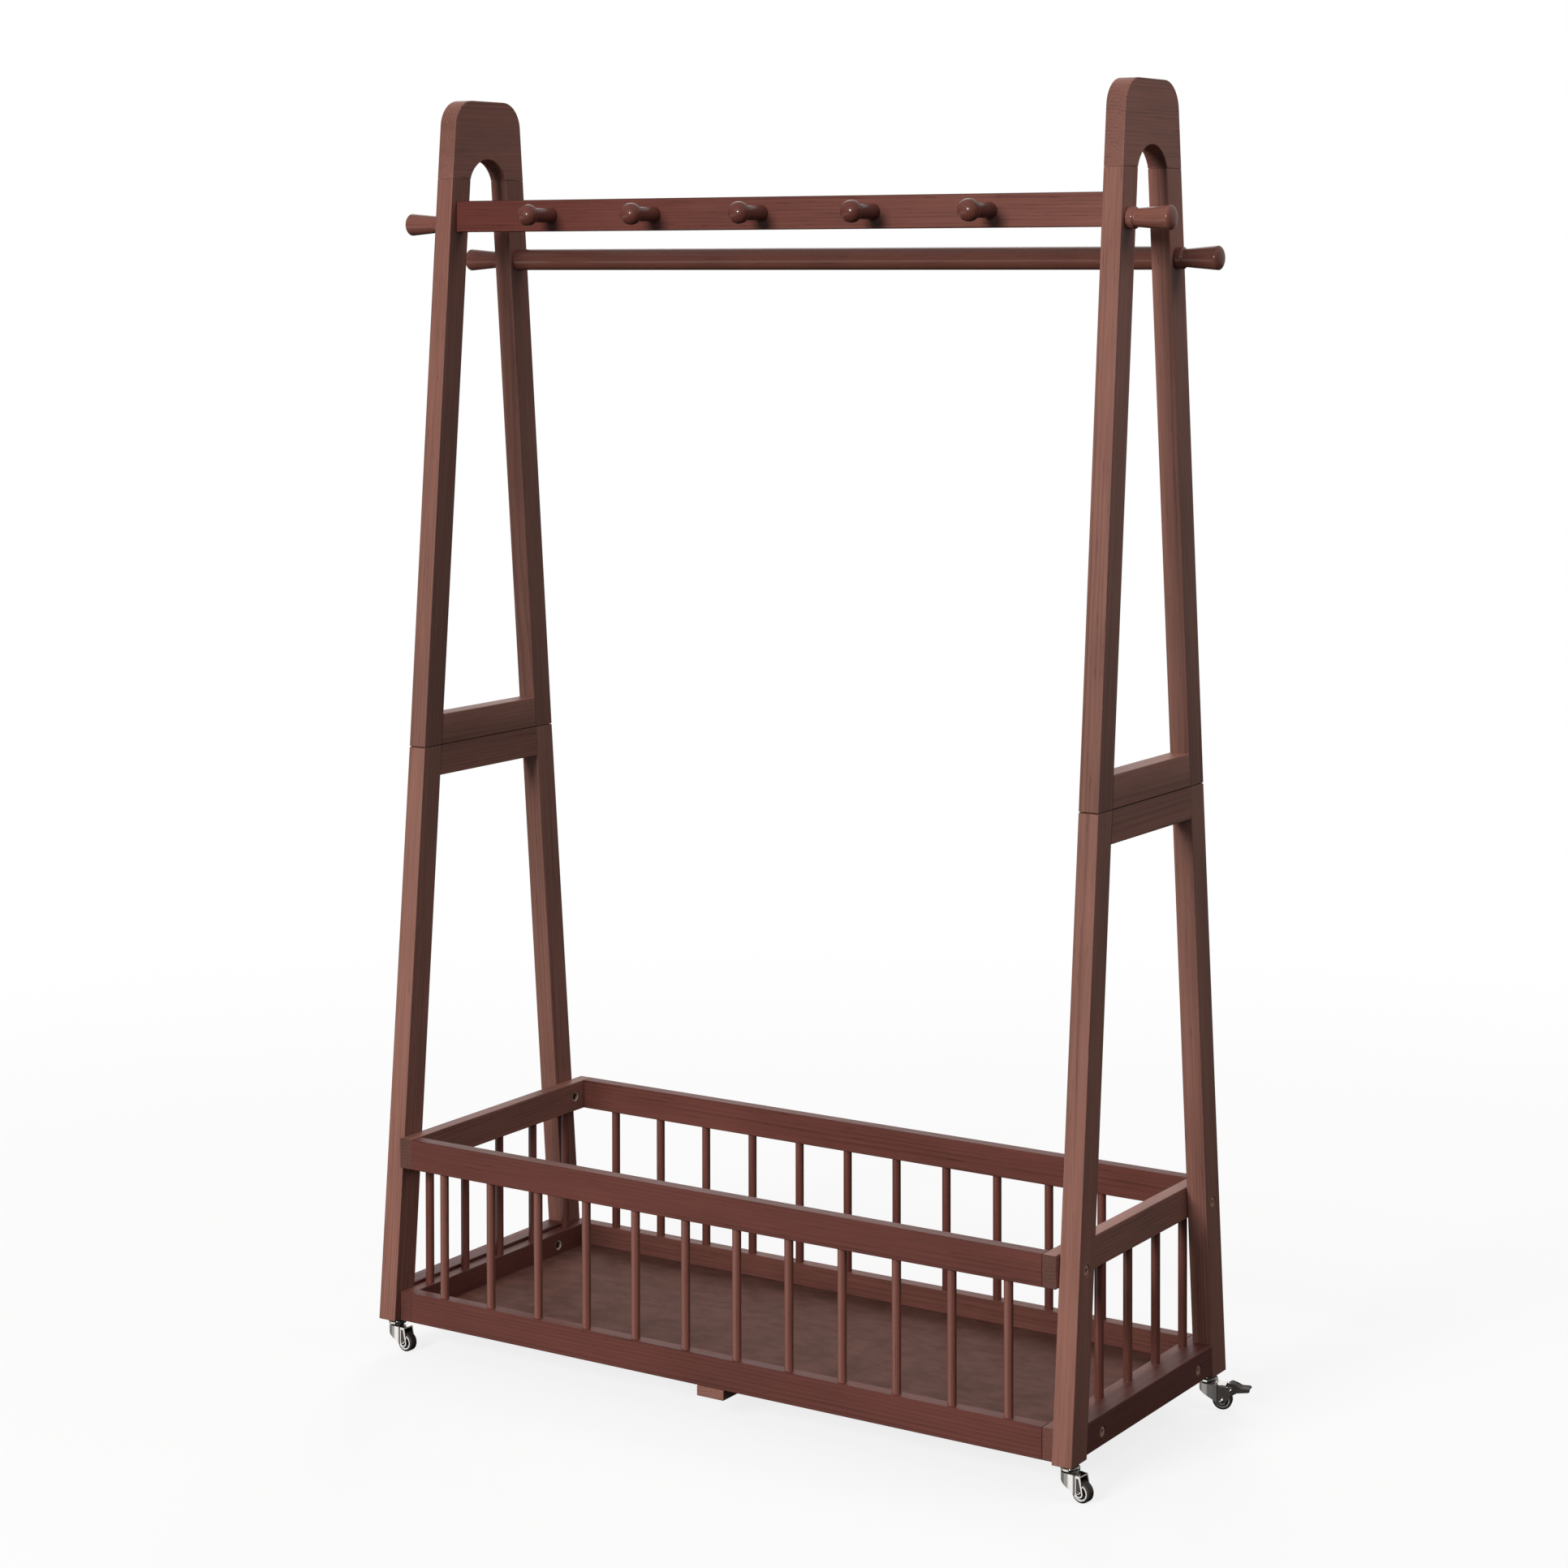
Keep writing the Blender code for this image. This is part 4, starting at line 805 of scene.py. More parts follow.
# %% End pegs
PEG_LENGTH = 0.058
PEG_COLLAR, PEG_NECK, PEG_TIP = 0.013, 0.0109, 0.0145
PEG_TONE = 0.62
PEG_DOME = 0.0056
PEG_STEPS = 7
peg_corners = [
    (0.0, 0.0), (PEG_COLLAR, 0.0), (PEG_COLLAR, 0.0082), (PEG_NECK + 0.0008, 0.0092), (PEG_NECK, 0.0106),
    (PEG_TIP, PEG_LENGTH - PEG_DOME),
]
collar = rounded(peg_corners, [0, 0.0012, 0.0014, 0.0005, 0.0008, 0], PEG_STEPS)
collar = collar[PEG_STEPS + 1 : -PEG_STEPS - 1]
angle = np.linspace(0, NEARLY_POLE, 18)
dome = np.stack([PEG_TIP * np.cos(angle), PEG_LENGTH - PEG_DOME * (1 - np.sin(angle))], -1)
profile = np.concatenate([collar, dome])
for end, side in SIDES.items():
    for way_name in WAYS:
        low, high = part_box(f"{end}_{way_name}_peg")
        place = across(side * (FRAME_OUT + SEAM), (low.y + high.y) / 2, (low.z + high.z) / 2, side)
        rings = placed(turned(profile, PEG_SIDES), place)
        name = f"{end}_{way_name}_peg"
        wooden(f"{name}_turned", rings, "x", PEG_TONE, [name], **TURNED)
print("four end pegs of", len(profile), "profile points")

# %% [markdown]
# ## Basket
# Two rims of slats with spindles between them. The side slats run through from front to rear and show their
# end grain, and the front and rear slats fit between them. The floor lies in a rebate of the bottom slats.

# %% Slats
SLAT_EDGE = 0.0011
# Painted shade along the slats' eased edges
SLAT_EDGE_SHADE = 0.4
SLAT_TONE = {"front": 0.14, "rear": 0.08, "left": 0.4, "right": 0.6}
LEVEL_TONE = {"top": 0.6, "spindle": -0.15}  # added on the side slats: painted light, paler on the top rim and darker on the lower one
LOWER_SLAT_TONE = {"front": 0.14, "rear": 0.38}
END_STAIN = {"top": 0.95, "spindle": 0.3}
REBATE = 0.006
FLOOR_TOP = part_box("basket_floor")[1].z
SPINDLE_SEAT = BASKET_LOW + BOTTOM_SLAT_HEIGHT
NUT_HOLE, NUT_POCKET = 0.0066, 0.010
ROWS = {"front": (BASKET_FRONT, 1), "rear": (BASKET_REAR, -1)}
LEVELS = {"top": (TOP_SLAT_LOW, TOP_SLAT_HIGH, "upper"), "spindle": (BASKET_LOW, SPINDLE_SEAT, "lower")}

for end, side in SIDES.items():
    x_range = sorted((side * BASKET_IN, side * BASKET_OUT))
    for level, (low, high, bolt) in LEVELS.items():
        depth, height = BOLTS[bolt]
        places = [(side * BASKET_IN, way * depth, height) for way in WAYS.values()]
        holes = [pocket(*place, side, NUT_HOLE, NUT_POCKET) for place in places]
        outline = rectangle((low, x_range[0]), (high, x_range[1]), SLAT_EDGE)
        rings = carried(outline, "y", BASKET_FRONT, BASKET_REAR, SLAT_EDGE)
        name = f"basket_{end}_{level}_slat"
        wooden(f"{name}_planed", rings, "y", SLAT_TONE[end] + LEVEL_TONE[level], [name], holes,
               edge=SLAT_EDGE_SHADE, end=END_STAIN[level])
for way_name, (outside, inward) in ROWS.items():
    inside = outside + inward * SLAT_WIDTH
    y_range = sorted((outside, inside))
    outline = rectangle((y_range[0], TOP_SLAT_LOW), (y_range[1], TOP_SLAT_HIGH), SLAT_EDGE)
    name = f"basket_{way_name}_top_slat"
    rings = carried(outline, "x", -SLAT_END, SLAT_END, SEAM)
    wooden(f"{name}_planed", rings, "x", SLAT_TONE[way_name], [name], edge=SLAT_EDGE_SHADE)
    step = inside - inward * REBATE
    corners = [
        (outside, BASKET_LOW), (step, BASKET_LOW), (step, FLOOR_TOP + SEAM), (inside, FLOOR_TOP + SEAM),
        (inside, SPINDLE_SEAT), (outside, SPINDLE_SEAT),
    ]
    radii = np.array([SLAT_EDGE, SEAM, SEAM, SEAM, SLAT_EDGE, SLAT_EDGE])
    outline = rounded(corners[::inward], radii[::inward], 4)
    name = f"basket_{way_name}_spindle_slat"
    rings = carried(outline, "x", -SLAT_END, SLAT_END, SEAM / 2)
    wooden(f"{name}_planed", rings, "x", LOWER_SLAT_TONE[way_name], [name], edge=SLAT_EDGE_SHADE)
print("eight slats of", round(SLAT_WIDTH * 1000, 1), "mm")

# %% [markdown]
# A spindle is a plain dowel of 11 mm, glued in bored holes of both slats. Only the length between the slats
# is drawn, as a profile of two points spun round its axis. There are twelve in front, as many at the rear and
# five at each end.

# %% Spindles
SPINDLE_RADIUS = 0.0055
SPINDLE_SIDES = 28
FRONT_COUNT, FRONT_PITCH = 12, 0.0743
SIDE_COUNT, SIDE_PITCH = 5, 0.073
SPINDLE_TONE = {"front": 0.72, "rear": 0.36, "left": 0.4, "right": 0.5}
middle_y = (BASKET_FRONT + BASKET_REAR) / 2
front_x = (np.arange(FRONT_COUNT) - (FRONT_COUNT - 1) / 2) * FRONT_PITCH
side_y = middle_y + (np.arange(SIDE_COUNT) - (SIDE_COUNT - 1) / 2) * SIDE_PITCH
spindle_places = {
    "front": [(x, BASKET_FRONT + SLAT_WIDTH / 2) for x in front_x],
    "rear": [(x, BASKET_REAR - SLAT_WIDTH / 2) for x in front_x],
    "left": [(SLAT_WIDTH / 2 - BASKET_OUT, y) for y in side_y],
    "right": [(BASKET_OUT - SLAT_WIDTH / 2, y) for y in side_y],
}
spindle_profile = [(SPINDLE_RADIUS, SPINDLE_SEAT - SEAM), (SPINDLE_RADIUS, TOP_SLAT_LOW + SEAM)]
for row, places in spindle_places.items():
    for number, (x, y) in enumerate(places, 1):
        rings = placed(turned(spindle_profile, SPINDLE_SIDES), Matrix.Translation((x, y, 0)))
        wooden(f"spindle_{row}_{number}", rings, "z", SPINDLE_TONE[row], finish=turned_pine)
print(sum(len(places) for places in spindle_places.values()), "spindles")

# %% [markdown]
# The floor is one sheet of plywood, and a batten across its underside keeps it from sagging. Both are sawn
# rectangles with softened edges, so both are one section carried along their length.

# %% Floor and batten
FLOOR_EDGE = 0.0006
BATTEN_TONE = 1.0
low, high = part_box("basket_floor")
outline = rectangle((low.y, low.z), (high.y, high.z), FLOOR_EDGE)
panel = skin("basket_floor_panel", carried(outline, "x", low.x, high.x, FLOOR_EDGE))
finish_piece("basket_floor_panel", panel, plywood, "plywood_panel", "rack", "basket_floor")
low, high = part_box("batten")
outline = rectangle((low.z, low.x), (high.z, high.x), SLAT_EDGE)
rings = carried(outline, "y", low.y, high.y, SLAT_EDGE)
wooden("batten_planed", rings, "y", BATTEN_TONE, ["batten"])
print("batten", round(1000 * (high.y - low.y)), "mm long")

# %% [markdown]
# ## Bolts and sleeve nuts
# Eight socket-head bolts go through the ends into sleeve nuts in the basket. A socket is a hexagon, and a
# hexagon is a circle whose radius changes with the angle: r = a / cos(angle folded into its side).

# %% Bolts
SOCKET_FLAT = 0.0031  # middle of the socket to a flat
SOCKET_DEPTH = 0.0028
SOCKET_EDGE = 0.0003
HEAD_CHAMFER, HEAD_HEIGHT = 0.0006, 0.0048
BOLT_SIDES = 48
NUT_OUTER, NUT_INNER = 0.0064, 0.0052
NUT_FACE, NUT_DEEP = 0.0004, 0.0036  # how far under the slat's face the nut begins and ends


def bolt_rings():
    """Head from its rear edge over the chamfer to the socket's mouth and down to its floor, along Z."""
    angle = np.linspace(0, 2 * np.pi, BOLT_SIDES, endpoint=False)
    folded = (angle + np.pi / 6) % (np.pi / 3) - np.pi / 6
    flat = SOCKET_FLAT / np.cos(folded)
    whole = np.ones_like(angle)
    part = HEAD_CHAMFER * 0.3  # a third point makes the chamfer a shallow curve
    stations = [
        (whole * BOLT_HEAD, BOLT_SUNK + HEAD_HEIGHT), (whole * BOLT_HEAD, BOLT_SUNK + HEAD_CHAMFER),
        (whole * (BOLT_HEAD - part), BOLT_SUNK + part), (whole * (BOLT_HEAD - HEAD_CHAMFER), BOLT_SUNK),
        (flat + SOCKET_EDGE, BOLT_SUNK), (flat, BOLT_SUNK + SOCKET_EDGE), (flat, BOLT_SUNK + SOCKET_DEPTH),
    ]
    rings = [np.stack([r * np.cos(angle), r * np.sin(angle), z + 0 * angle], -1) for r, z in stations]
    return np.stack(rings)


nut_profile = [
    (NUT_OUTER, NUT_FACE), (NUT_OUTER, NUT_DEEP), (NUT_INNER, NUT_DEEP), (NUT_INNER, NUT_FACE + HEAD_CHAMFER),
    (NUT_INNER + HEAD_CHAMFER, NUT_FACE),
]
bolt_count = 0
for end, side in SIDES.items():
    for way_name, way in WAYS.items():
        for level, (depth, height) in BOLTS.items():
            name = f"{end}_{way_name}_{level}_bolt"
            rings = placed(bolt_rings(), across(side * FRAME_OUT, way * depth, height, -side))
            finish_piece(f"{name}_head", skin(name, rings), bronzed, "zinc_steel", "rack", name)
            place = across(side * BASKET_IN, way * depth, height, side)
            nut = skin("nut", placed(turned(nut_profile, BOLT_SIDES), place), True)
            finish_piece(f"{end}_{way_name}_{level}_nut", nut, zinc, "zinc_steel", "rack")
            bolt_count += 1
print(bolt_count, "bolts and as many sleeve nuts")

# %% [markdown]
# ## Casters
# Each caster has a fixed race, a fork that turns under it, and a wheel on a riveted axle. The rear ones have
# a brake lever. The fork is one pressed plate: seen from above it is a cup round the stem that narrows to two
# arms, and from the side it is cut to a slope and rounded round the axle. So it is made the way a press tool
# would: the shape from above, kept only where the shape from the side also is, less the same shape a plate's
# thickness smaller. Everything is drawn with x from the stem to the wheel, and then turned to its heading.

# %% Caster sizes
joints = {joint["name"]: joint for joint in frame["joints"]}
CORNERS = ("front_left", "front_right", "rear_left", "rear_right")
TRAIL = 0.017  # stem to axle
WHEEL_RADIUS = 0.012
WHEEL_HALF = 0.0059
FORK_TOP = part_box("front_left_caster_fork")[1].z
FORK_HALF = 0.0084
FORK_CUP = 0.0091
FORK_FRONT = 0.0115
FORK_REAR = 0.018
FORK_STEP = 0.0118  # where the cup steps in to the arm
PLATE = 0.0014
ARM_RADIUS = 0.005
SKIRT_LEVEL = 0.0225
LEVER_PIVOT = (TRAIL + 0.0108, WHEEL_RADIUS + 0.0136)
EAR_RADIUS = 0.0037
BRAKE_PLATE = 0.022  # stem to the rear edge of a brake fork's top plate
FORK_SOFT = 0.0002
WEB_DEPTH, FLANGE = 0.0005, 0.0013  # how deep the arm's middle is pressed in, inside a rim of this width
AS_SAWN = 1e-5  # an edge that is left sharp
PAST = 0.04  # a length that is sure to reach past the fork


def heading_of(corner):
    """The wheel's axis is (-sin h, cos h, 0) for a heading h."""
    axis = joints[f"{corner}_wheel_axle"]["axis"]
    return math.atan2(-axis[0], axis[1])


def caster_place(corner):
    """Matrix from the fork's own x, y and z to the rack's, about the swivel's axis."""
    x, y, _ = joints[f"{corner}_swivel"]["pos_m"]
    return Matrix.Translation((x, y, 0)) @ Matrix.Rotation(heading_of(corner), 4, "Z")


for corner in CORNERS:
    print(corner, "heads", round(math.degrees(heading_of(corner)), 1), "degrees")

# %% [markdown]
# ### Forks
# The outline from above and the outline from the side are each drawn twice, once for the outside and once a
# plate's thickness smaller. A brake fork differs only from the side, where it has an ear for the lever's pin.

# %% Outlines of the fork
STEP_RUN = 0.0014


def touching(point, centre, radius, turn):
    """Angle on a circle where a line from a point touches it."""
    away = np.subtract(point, centre)
    return math.atan2(away[1], away[0]) + turn * math.acos(radius / np.hypot(*away))


def from_above(inset):
    """Half an ellipse round the stem, straight cheeks, an eased step in, and the arms."""
    cup, half = FORK_CUP - inset, FORK_HALF - inset
    angle = np.linspace(math.pi / 2, 3 * math.pi / 2, 33)
    front = np.stack([(FORK_FRONT - inset) * np.cos(angle), cup * np.sin(angle)], -1)
    run = np.linspace(0, 1, 7)
    ease = 0.5 + 0.5 * np.cos(np.pi * run)
    right = np.stack([FORK_STEP + STEP_RUN * (run - 0.5), -(half + (cup - half) * ease)], -1)
    left = right[::-1] * (1, -1)
    end = PAST + 0.01 if inset else PAST
    return np.concatenate([front, right, [(end, -half), (end, half)], left])


def from_the_side(brake):
    """Slope, arc round the axle, and either a rear edge or the ear of the lever's pivot."""
    axle, skirt = (TRAIL, WHEEL_RADIUS), (-FORK_FRONT, SKIRT_LEVEL)
    start = touching(skirt, axle, ARM_RADIUS, 1)
    touch = np.array(axle) + ARM_RADIUS * np.array([math.cos(start), math.sin(start)])
    run = unit(touch - skirt)
    front = np.array(skirt) - run * PAST / 2
    if brake:
        apart = np.subtract(LEVER_PIVOT, axle)
        turn = math.atan2(apart[1], apart[0]) - math.acos((ARM_RADIUS - EAR_RADIUS) / np.hypot(*apart))
        rear = [arc(axle, ARM_RADIUS, start, turn + 2 * math.pi, 14)]
        rear += [arc(LEVER_PIVOT, EAR_RADIUS, turn, math.pi / 2, 14)]
        rear += [[(BRAKE_PLATE, LEVER_PIVOT[1] + EAR_RADIUS), (BRAKE_PLATE, FORK_TOP)]]
    else:
        stop = touching((FORK_REAR, FORK_TOP), axle, ARM_RADIUS, -1) + 2 * math.pi
        rear = [arc(axle, ARM_RADIUS, start, stop, 18), [(FORK_REAR, FORK_TOP)]]
    outer = np.concatenate([[front], *rear, [(front[0], FORK_TOP)]])
    inward = np.array([-run[1], run[0]])
    clear = WHEEL_RADIUS + 0.001
    foot = np.array(axle) - inward * (ARM_RADIUS - PLATE)
    lip = foot - run * math.sqrt(clear**2 - (ARM_RADIUS - PLATE) ** 2)
    out = lip - inward * 3 * PLATE
    ceiling, under, behind = FORK_TOP - PLATE, -0.001, 1.5 * PAST
    inner = [
        front + inward * PLATE, lip, out, (out[0], under), (behind, under), (behind, ceiling),
        (front[0], ceiling),
    ]
    return outer, np.array(inner)


print("plain fork", round(1000 * (FORK_FRONT + FORK_REAR), 1), "mm long over its top")

# %% [markdown]
# Both outer outlines are carried straight and cut to what they share, and so are the inner ones, which are
# then cut out. The arms' middles are pressed in a little, inside rims that stay bright nickel while the webs
# get painted dark reflections. A plain fork and a brake fork are made this way and then copied to their
# corners.

# %% Forks
def slab(outline, along, low, high):
    """An outline carried straight, with sharp ends, as a shape to cut with."""
    return skin("slab", carried(outline, along, low, high, AS_SAWN, 1))


def fork_mesh(brake):
    """(Outside from above and from the side) less (inside from above and from the side), less both webs."""
    wide = PAST / 2
    outer, inner = from_the_side(brake)
    shell = cut(slab(from_above(0), "z", 0, FORK_TOP), slab(outer[:, ::-1], "y", -wide, wide), "INTERSECT")
    room = slab(from_above(PLATE), "z", -2 * CLEAR, FORK_TOP)
    room = cut(room, slab(inner[:, ::-1], "y", -wide, wide), "INTERSECT")
    shell = cut(shell, room)
    bottom = arc((TRAIL, WHEEL_RADIUS), ARM_RADIUS - FLANGE, math.pi, (1.5 if brake else 2) * math.pi, 12)
    level = FORK_TOP - 2 * FLANGE
    rear = [(PAST, bottom[-1, 1]), (PAST, level)] if brake else [(FORK_REAR - FLANGE, level)]
    web = np.concatenate([[(bottom[0, 0], level)], bottom, rear])
    for side in (-1, 1):
        y_range = sorted((side * (FORK_HALF - WEB_DEPTH), side * wide))
        shell = cut(shell, slab(web[:, ::-1], "y", *y_range), bevel=FORK_SOFT if side > 0 else 0)
    # Flat faces of the recessed webs, on which the pressed steel paints dark reflections.
    middles = np.array([face.center for face in shell.polygons])
    flat = np.abs([face.normal.y for face in shell.polygons]) > 0.9
    dull = flat & (middles[:, 0] > FORK_STEP + 0.0006) & (np.abs(middles[:, 1]) < FORK_HALF - WEB_DEPTH / 2)
    shell.attributes.new("web", "FLOAT", "FACE").data.foreach_set("value", dull.astype(np.float32))
    places = np.array([point.co for point in shell.vertices])
    shell.attributes.new("place", "FLOAT_VECTOR", "POINT").data.foreach_set("vector", places.ravel())
    return shell


fork_meshes = {brake: fork_mesh(brake) for brake in (False, True)}
for corner in CORNERS:
    mesh = fork_meshes["rear" in corner].copy()
    mesh.transform(caster_place(corner))
    name = f"{corner}_fork"
    finish_piece(f"{name}_pressed", mesh, pressed, "zinc_steel", name, f"{corner}_caster_fork")
print("forks of", len(fork_meshes[False].polygons), "and", len(fork_meshes[True].polygons), "faces")

# %% [markdown]
# ### Races
# Above the fork sits the fixed ball race, pressed on the stem that goes up into the leg. Only its outside can
# be seen, so its section is drawn once, with the corners that the press rounds, and spun round the stem.

# %% Races
RACE_RADIUS = 0.0112
RACE_LOW, RACE_HIGH = FORK_TOP + SEAM, FOOT_LEVEL - SEAM
ROUND_SIDES = 64
race_corners = [
    (0.0, RACE_LOW), (0.0084, RACE_LOW), (0.0092, RACE_LOW + 0.0018), (RACE_RADIUS, RACE_LOW + 0.0018),
    (RACE_RADIUS, RACE_LOW + 0.0060), (0.0098, RACE_LOW + 0.0066), (0.0098, RACE_HIGH), (0.0, RACE_HIGH),
]
race_profile = rounded(race_corners, [0, 0.0004, 0.0004, 0.0011, 0.0018, 0.0006, 0.0004, 0], 6)
off_axis = race_profile[:, 0] > 0.0002  # the corners on the axis aren't needed, as each end is one flat face
race_profile = race_profile[off_axis]
for corner in CORNERS:
    rings = placed(turned(race_profile, ROUND_SIDES), caster_place(corner))
    name = f"{corner}_caster_stem"
    finish_piece(f"{corner}_race", skin(f"{corner}_race", rings), nickel, "bright_steel", "rack", name)
print("races", round(2000 * RACE_RADIUS, 1), "mm across")

# %% [markdown]
# ### Wheels
# A wheel is moulded in three steps: a black hub, a white rim round it and a soft tyre over both. Each is a
# closed section spun round the axle, so the three meet without a gap, and all ride on the wheel's body.

# %% Wheels
HUB_RADIUS, RIM_RADIUS = 0.0077, 0.0093
TYRE_SETBACK = 0.0003  # how much narrower the tyre is where it meets the rim
tyre_corners = [
    (RIM_RADIUS, TYRE_SETBACK - WHEEL_HALF), (WHEEL_RADIUS, -WHEEL_HALF), (WHEEL_RADIUS, WHEEL_HALF),
    (RIM_RADIUS, WHEEL_HALF - TYRE_SETBACK),
]
tyre_profile = rounded(tyre_corners, [0.0002, 0.0022, 0.0022, 0.0002], 8)
rim_corners = [
    (HUB_RADIUS, -WHEEL_HALF), (RIM_RADIUS, -WHEEL_HALF), (RIM_RADIUS, WHEEL_HALF), (HUB_RADIUS, WHEEL_HALF),
]
rim_profile = rounded(rim_corners, 0.0002, 3)
hub_half = [(0.0024, 0.0056), (0.0042, 0.0056), (0.0046, 0.0042), (0.0070, 0.0042), (HUB_RADIUS, 0.0052)]
hub_corners = [(r, -h) for r, h in hub_half] + [(r, h) for r, h in reversed(hub_half)]
hub_profile = rounded(hub_corners, 0.0004, 3)
WHEEL_PARTS = {"tyre": (tyre_profile, tread), "rim": (rim_profile, white_nylon), "hub": (hub_profile, nylon)}
for corner in CORNERS:
    axle_place = caster_place(corner) @ Matrix.Translation((TRAIL, 0, WHEEL_RADIUS))
    for part, (profile, finish) in WHEEL_PARTS.items():
        rings = placed(turned(profile, ROUND_SIDES), axle_place @ Matrix.Rotation(math.pi / 2, 4, "X"))
        replaced = [f"{corner}_caster_wheel"] if part == "tyre" else []
        mesh = skin(f"{corner}_{part}", rings, True)
        finish_piece(f"{corner}_{part}", mesh, finish, "wheel_rubber", f"{corner}_wheel", *replaced)
print("wheels", round(2000 * WHEEL_RADIUS), "mm across")

# %% [markdown]
# ### Rivets
# The axle and the lever's pin are rivets: a press spreads each end to a low dome on the fork's arm. The dome
# is a quarter of an ellipse, and the whole pin is one profile, mirrored and spun.

# %% Rivets
AXLE_RADIUS, LEVER_PIN = 0.0022, 0.0014
RIVET_LIP, RIVET_RISE = 0.0008, 0.0017
RIVET_POLE = math.radians(88)  # where the dome stops, just short of its pole
RIVET_SIDES = 40


def rivet(radius, x, z, place):
    """A pin with a dome at each end: the dome is a quarter of an ellipse."""
    head = radius + RIVET_LIP
    angle = np.linspace(RIVET_POLE, 0, 9)
    dome = np.stack([head * np.cos(angle), FORK_HALF + RIVET_RISE * np.sin(angle)], -1)
    half = np.concatenate([dome, [(head, FORK_HALF - WEB_DEPTH), (radius, FORK_HALF - WEB_DEPTH)]])
    profile = np.concatenate([half, half[::-1] * (1, -1)])[::-1]
    middle = place @ Matrix.Translation((x, 0, z)) @ Matrix.Rotation(math.pi / 2, 4, "X")
    return placed(turned(profile, RIVET_SIDES), middle)


for corner in CORNERS:
    pins = {"axle": (AXLE_RADIUS, TRAIL, WHEEL_RADIUS)}
    if "rear" in corner:
        pins["lever_pin"] = (LEVER_PIN, *LEVER_PIVOT)
    for pin, sizes in pins.items():
        name = f"{corner}_{pin}"
        mesh = skin(name, rivet(*sizes, caster_place(corner)))
        finish_piece(name, mesh, nickel, "bright_steel", f"{corner}_fork")
print("four axles and two lever pins")

# %% [markdown]
# ### Brake levers
# A lever is one moulding: a body between the fork's ears, whose nose presses on the tyre, and a wider tab for
# the toe. Seen from the side both are flat outlines with rounded corners, so each is carried across, with its
# edges eased, and the two overlap behind the pin.

# %% Brake levers
LEVER_REACH = 0.0227
BODY_HALF, TAB_HALF = 0.0064, 0.0080
LEVER_SOFT = 0.0007
# Corners as x and z from the pin.
body_corners = [
    (-0.0031, 0.0054), (-0.0026, -0.0026), (0.0014, -0.0062), (0.0067, -0.0030), (0.0067, 0.0058),
    (0.0007, 0.0075),
]
tab_corners = [
    (0.0052, 0.0057), (0.0052, -0.0026), (LEVER_REACH - 0.0015, -0.0006), (LEVER_REACH, 0.0006),
    (LEVER_REACH, 0.0018), (LEVER_REACH - 0.001, 0.0024), (0.0122, 0.0024), (0.0086, 0.0043),
]
body_radii = [0.0008, 0.0012, 0.0014, 0.0008, 0.0008, 0.0016]
tab_radii = [0.0006, 0.0006, 0.0007, 0.0004, 0.0004, 0.0004, 0.005, 0.003]
lever_outlines = {
    "body": (rounded(body_corners, body_radii, 5), BODY_HALF),
    "tab": (rounded(tab_corners, tab_radii, 5), TAB_HALF),
}
for corner in ("rear_left", "rear_right"):
    place = caster_place(corner) @ Matrix.Translation((LEVER_PIVOT[0], 0, LEVER_PIVOT[1]))
    for part, (outline, half) in lever_outlines.items():
        rings = placed(carried(outline[:, ::-1], "y", -half, half, LEVER_SOFT, 4), place)
        name = f"{corner}_lever_{part}"
        replaced = [f"{corner}_brake_lever"] if part == "tab" else []
        finish_piece(name, skin(name, rings), lever_nylon, "lever_plastic", f"{corner}_lever", *replaced)
print("two levers reaching", round(LEVER_REACH * 1000, 1), "mm behind their pins")

# %% [markdown]
# ## Studio
# A pale sheet of paper carries the rack's shadow and fades into a plain white that only the camera sees. For
# light that bounces off it the paper is dark grey, so that it throws little light up on the wood. Reflections
# look through it at the world, because a white sheet mirrored in the lacquer would wash its colour out.

# %% Floor
FLOOR_SIZE = 40.0
FADE_FROM, FADE_TO = 0.9, 3.2  # metres from the rack's middle, where the floor turns into plain white
FADE_LEAST = 0.82  # how much of that white lies over the floor beside the rack
half = FLOOR_SIZE / 2
floor_mesh = bpy.data.meshes.new("studio_floor")
floor_corners = [(-half, -half, 0), (half, -half, 0), (half, half, 0), (-half, half, 0)]
floor_mesh.from_pydata(floor_corners, [], [(0, 1, 2, 3)])
studio_floor = bpy.data.objects.new("studio_floor", floor_mesh)
bpy.context.scene.collection.objects.link(studio_floor)
paper, tree, shader = new_material("Studio paper", roughness=0.9, specular_ior_level=0.1)
seen = node(tree, "LightPath", out="Is Camera Ray")
mirrored = node(tree, "LightPath", out="Is Glossy Ray")
place = node(tree, "TexCoord", out="Object")
shade = node(tree, "Mix", {0: seen, 6: rgba("403F3E"), 7: rgba("F7F6F5")}, out=2, data_type="RGBA")
tree.links.new(shade, shader.inputs["Base Color"])
away = node(tree, "VectorMath", (place,), out="Value", operation="LENGTH")
fade = node(tree, "MapRange", (away, FADE_FROM, FADE_TO, FADE_LEAST, 1.0), **SMOOTH)
fade = node(tree, "Math", (seen, fade), operation="MULTIPLY")
white = node(tree, "Emission", {"Color": (1, 1, 1, 1), "Strength": 1.0})
blend = node(tree, "MixShader", (fade, shader.outputs[0], white))
surface = node(tree, "MixShader", (mirrored, blend, node(tree, "BsdfTransparent")))
tree.links.new(surface, tree.nodes["Material Output"].inputs["Surface"])
floor_mesh.materials.append(paper)
print("floor fades to white", FADE_TO, "m from the rack's middle")

# %% [markdown]
# One large soft lamp stands in front, because the photograph's front faces are more than twice as light as
# the faces that look right. A small one at the upper right makes those lighter near the top than near the
# floor, and one behind lights the back. One near the camera is only mirrored, and makes the small highlights
# on turned wood.

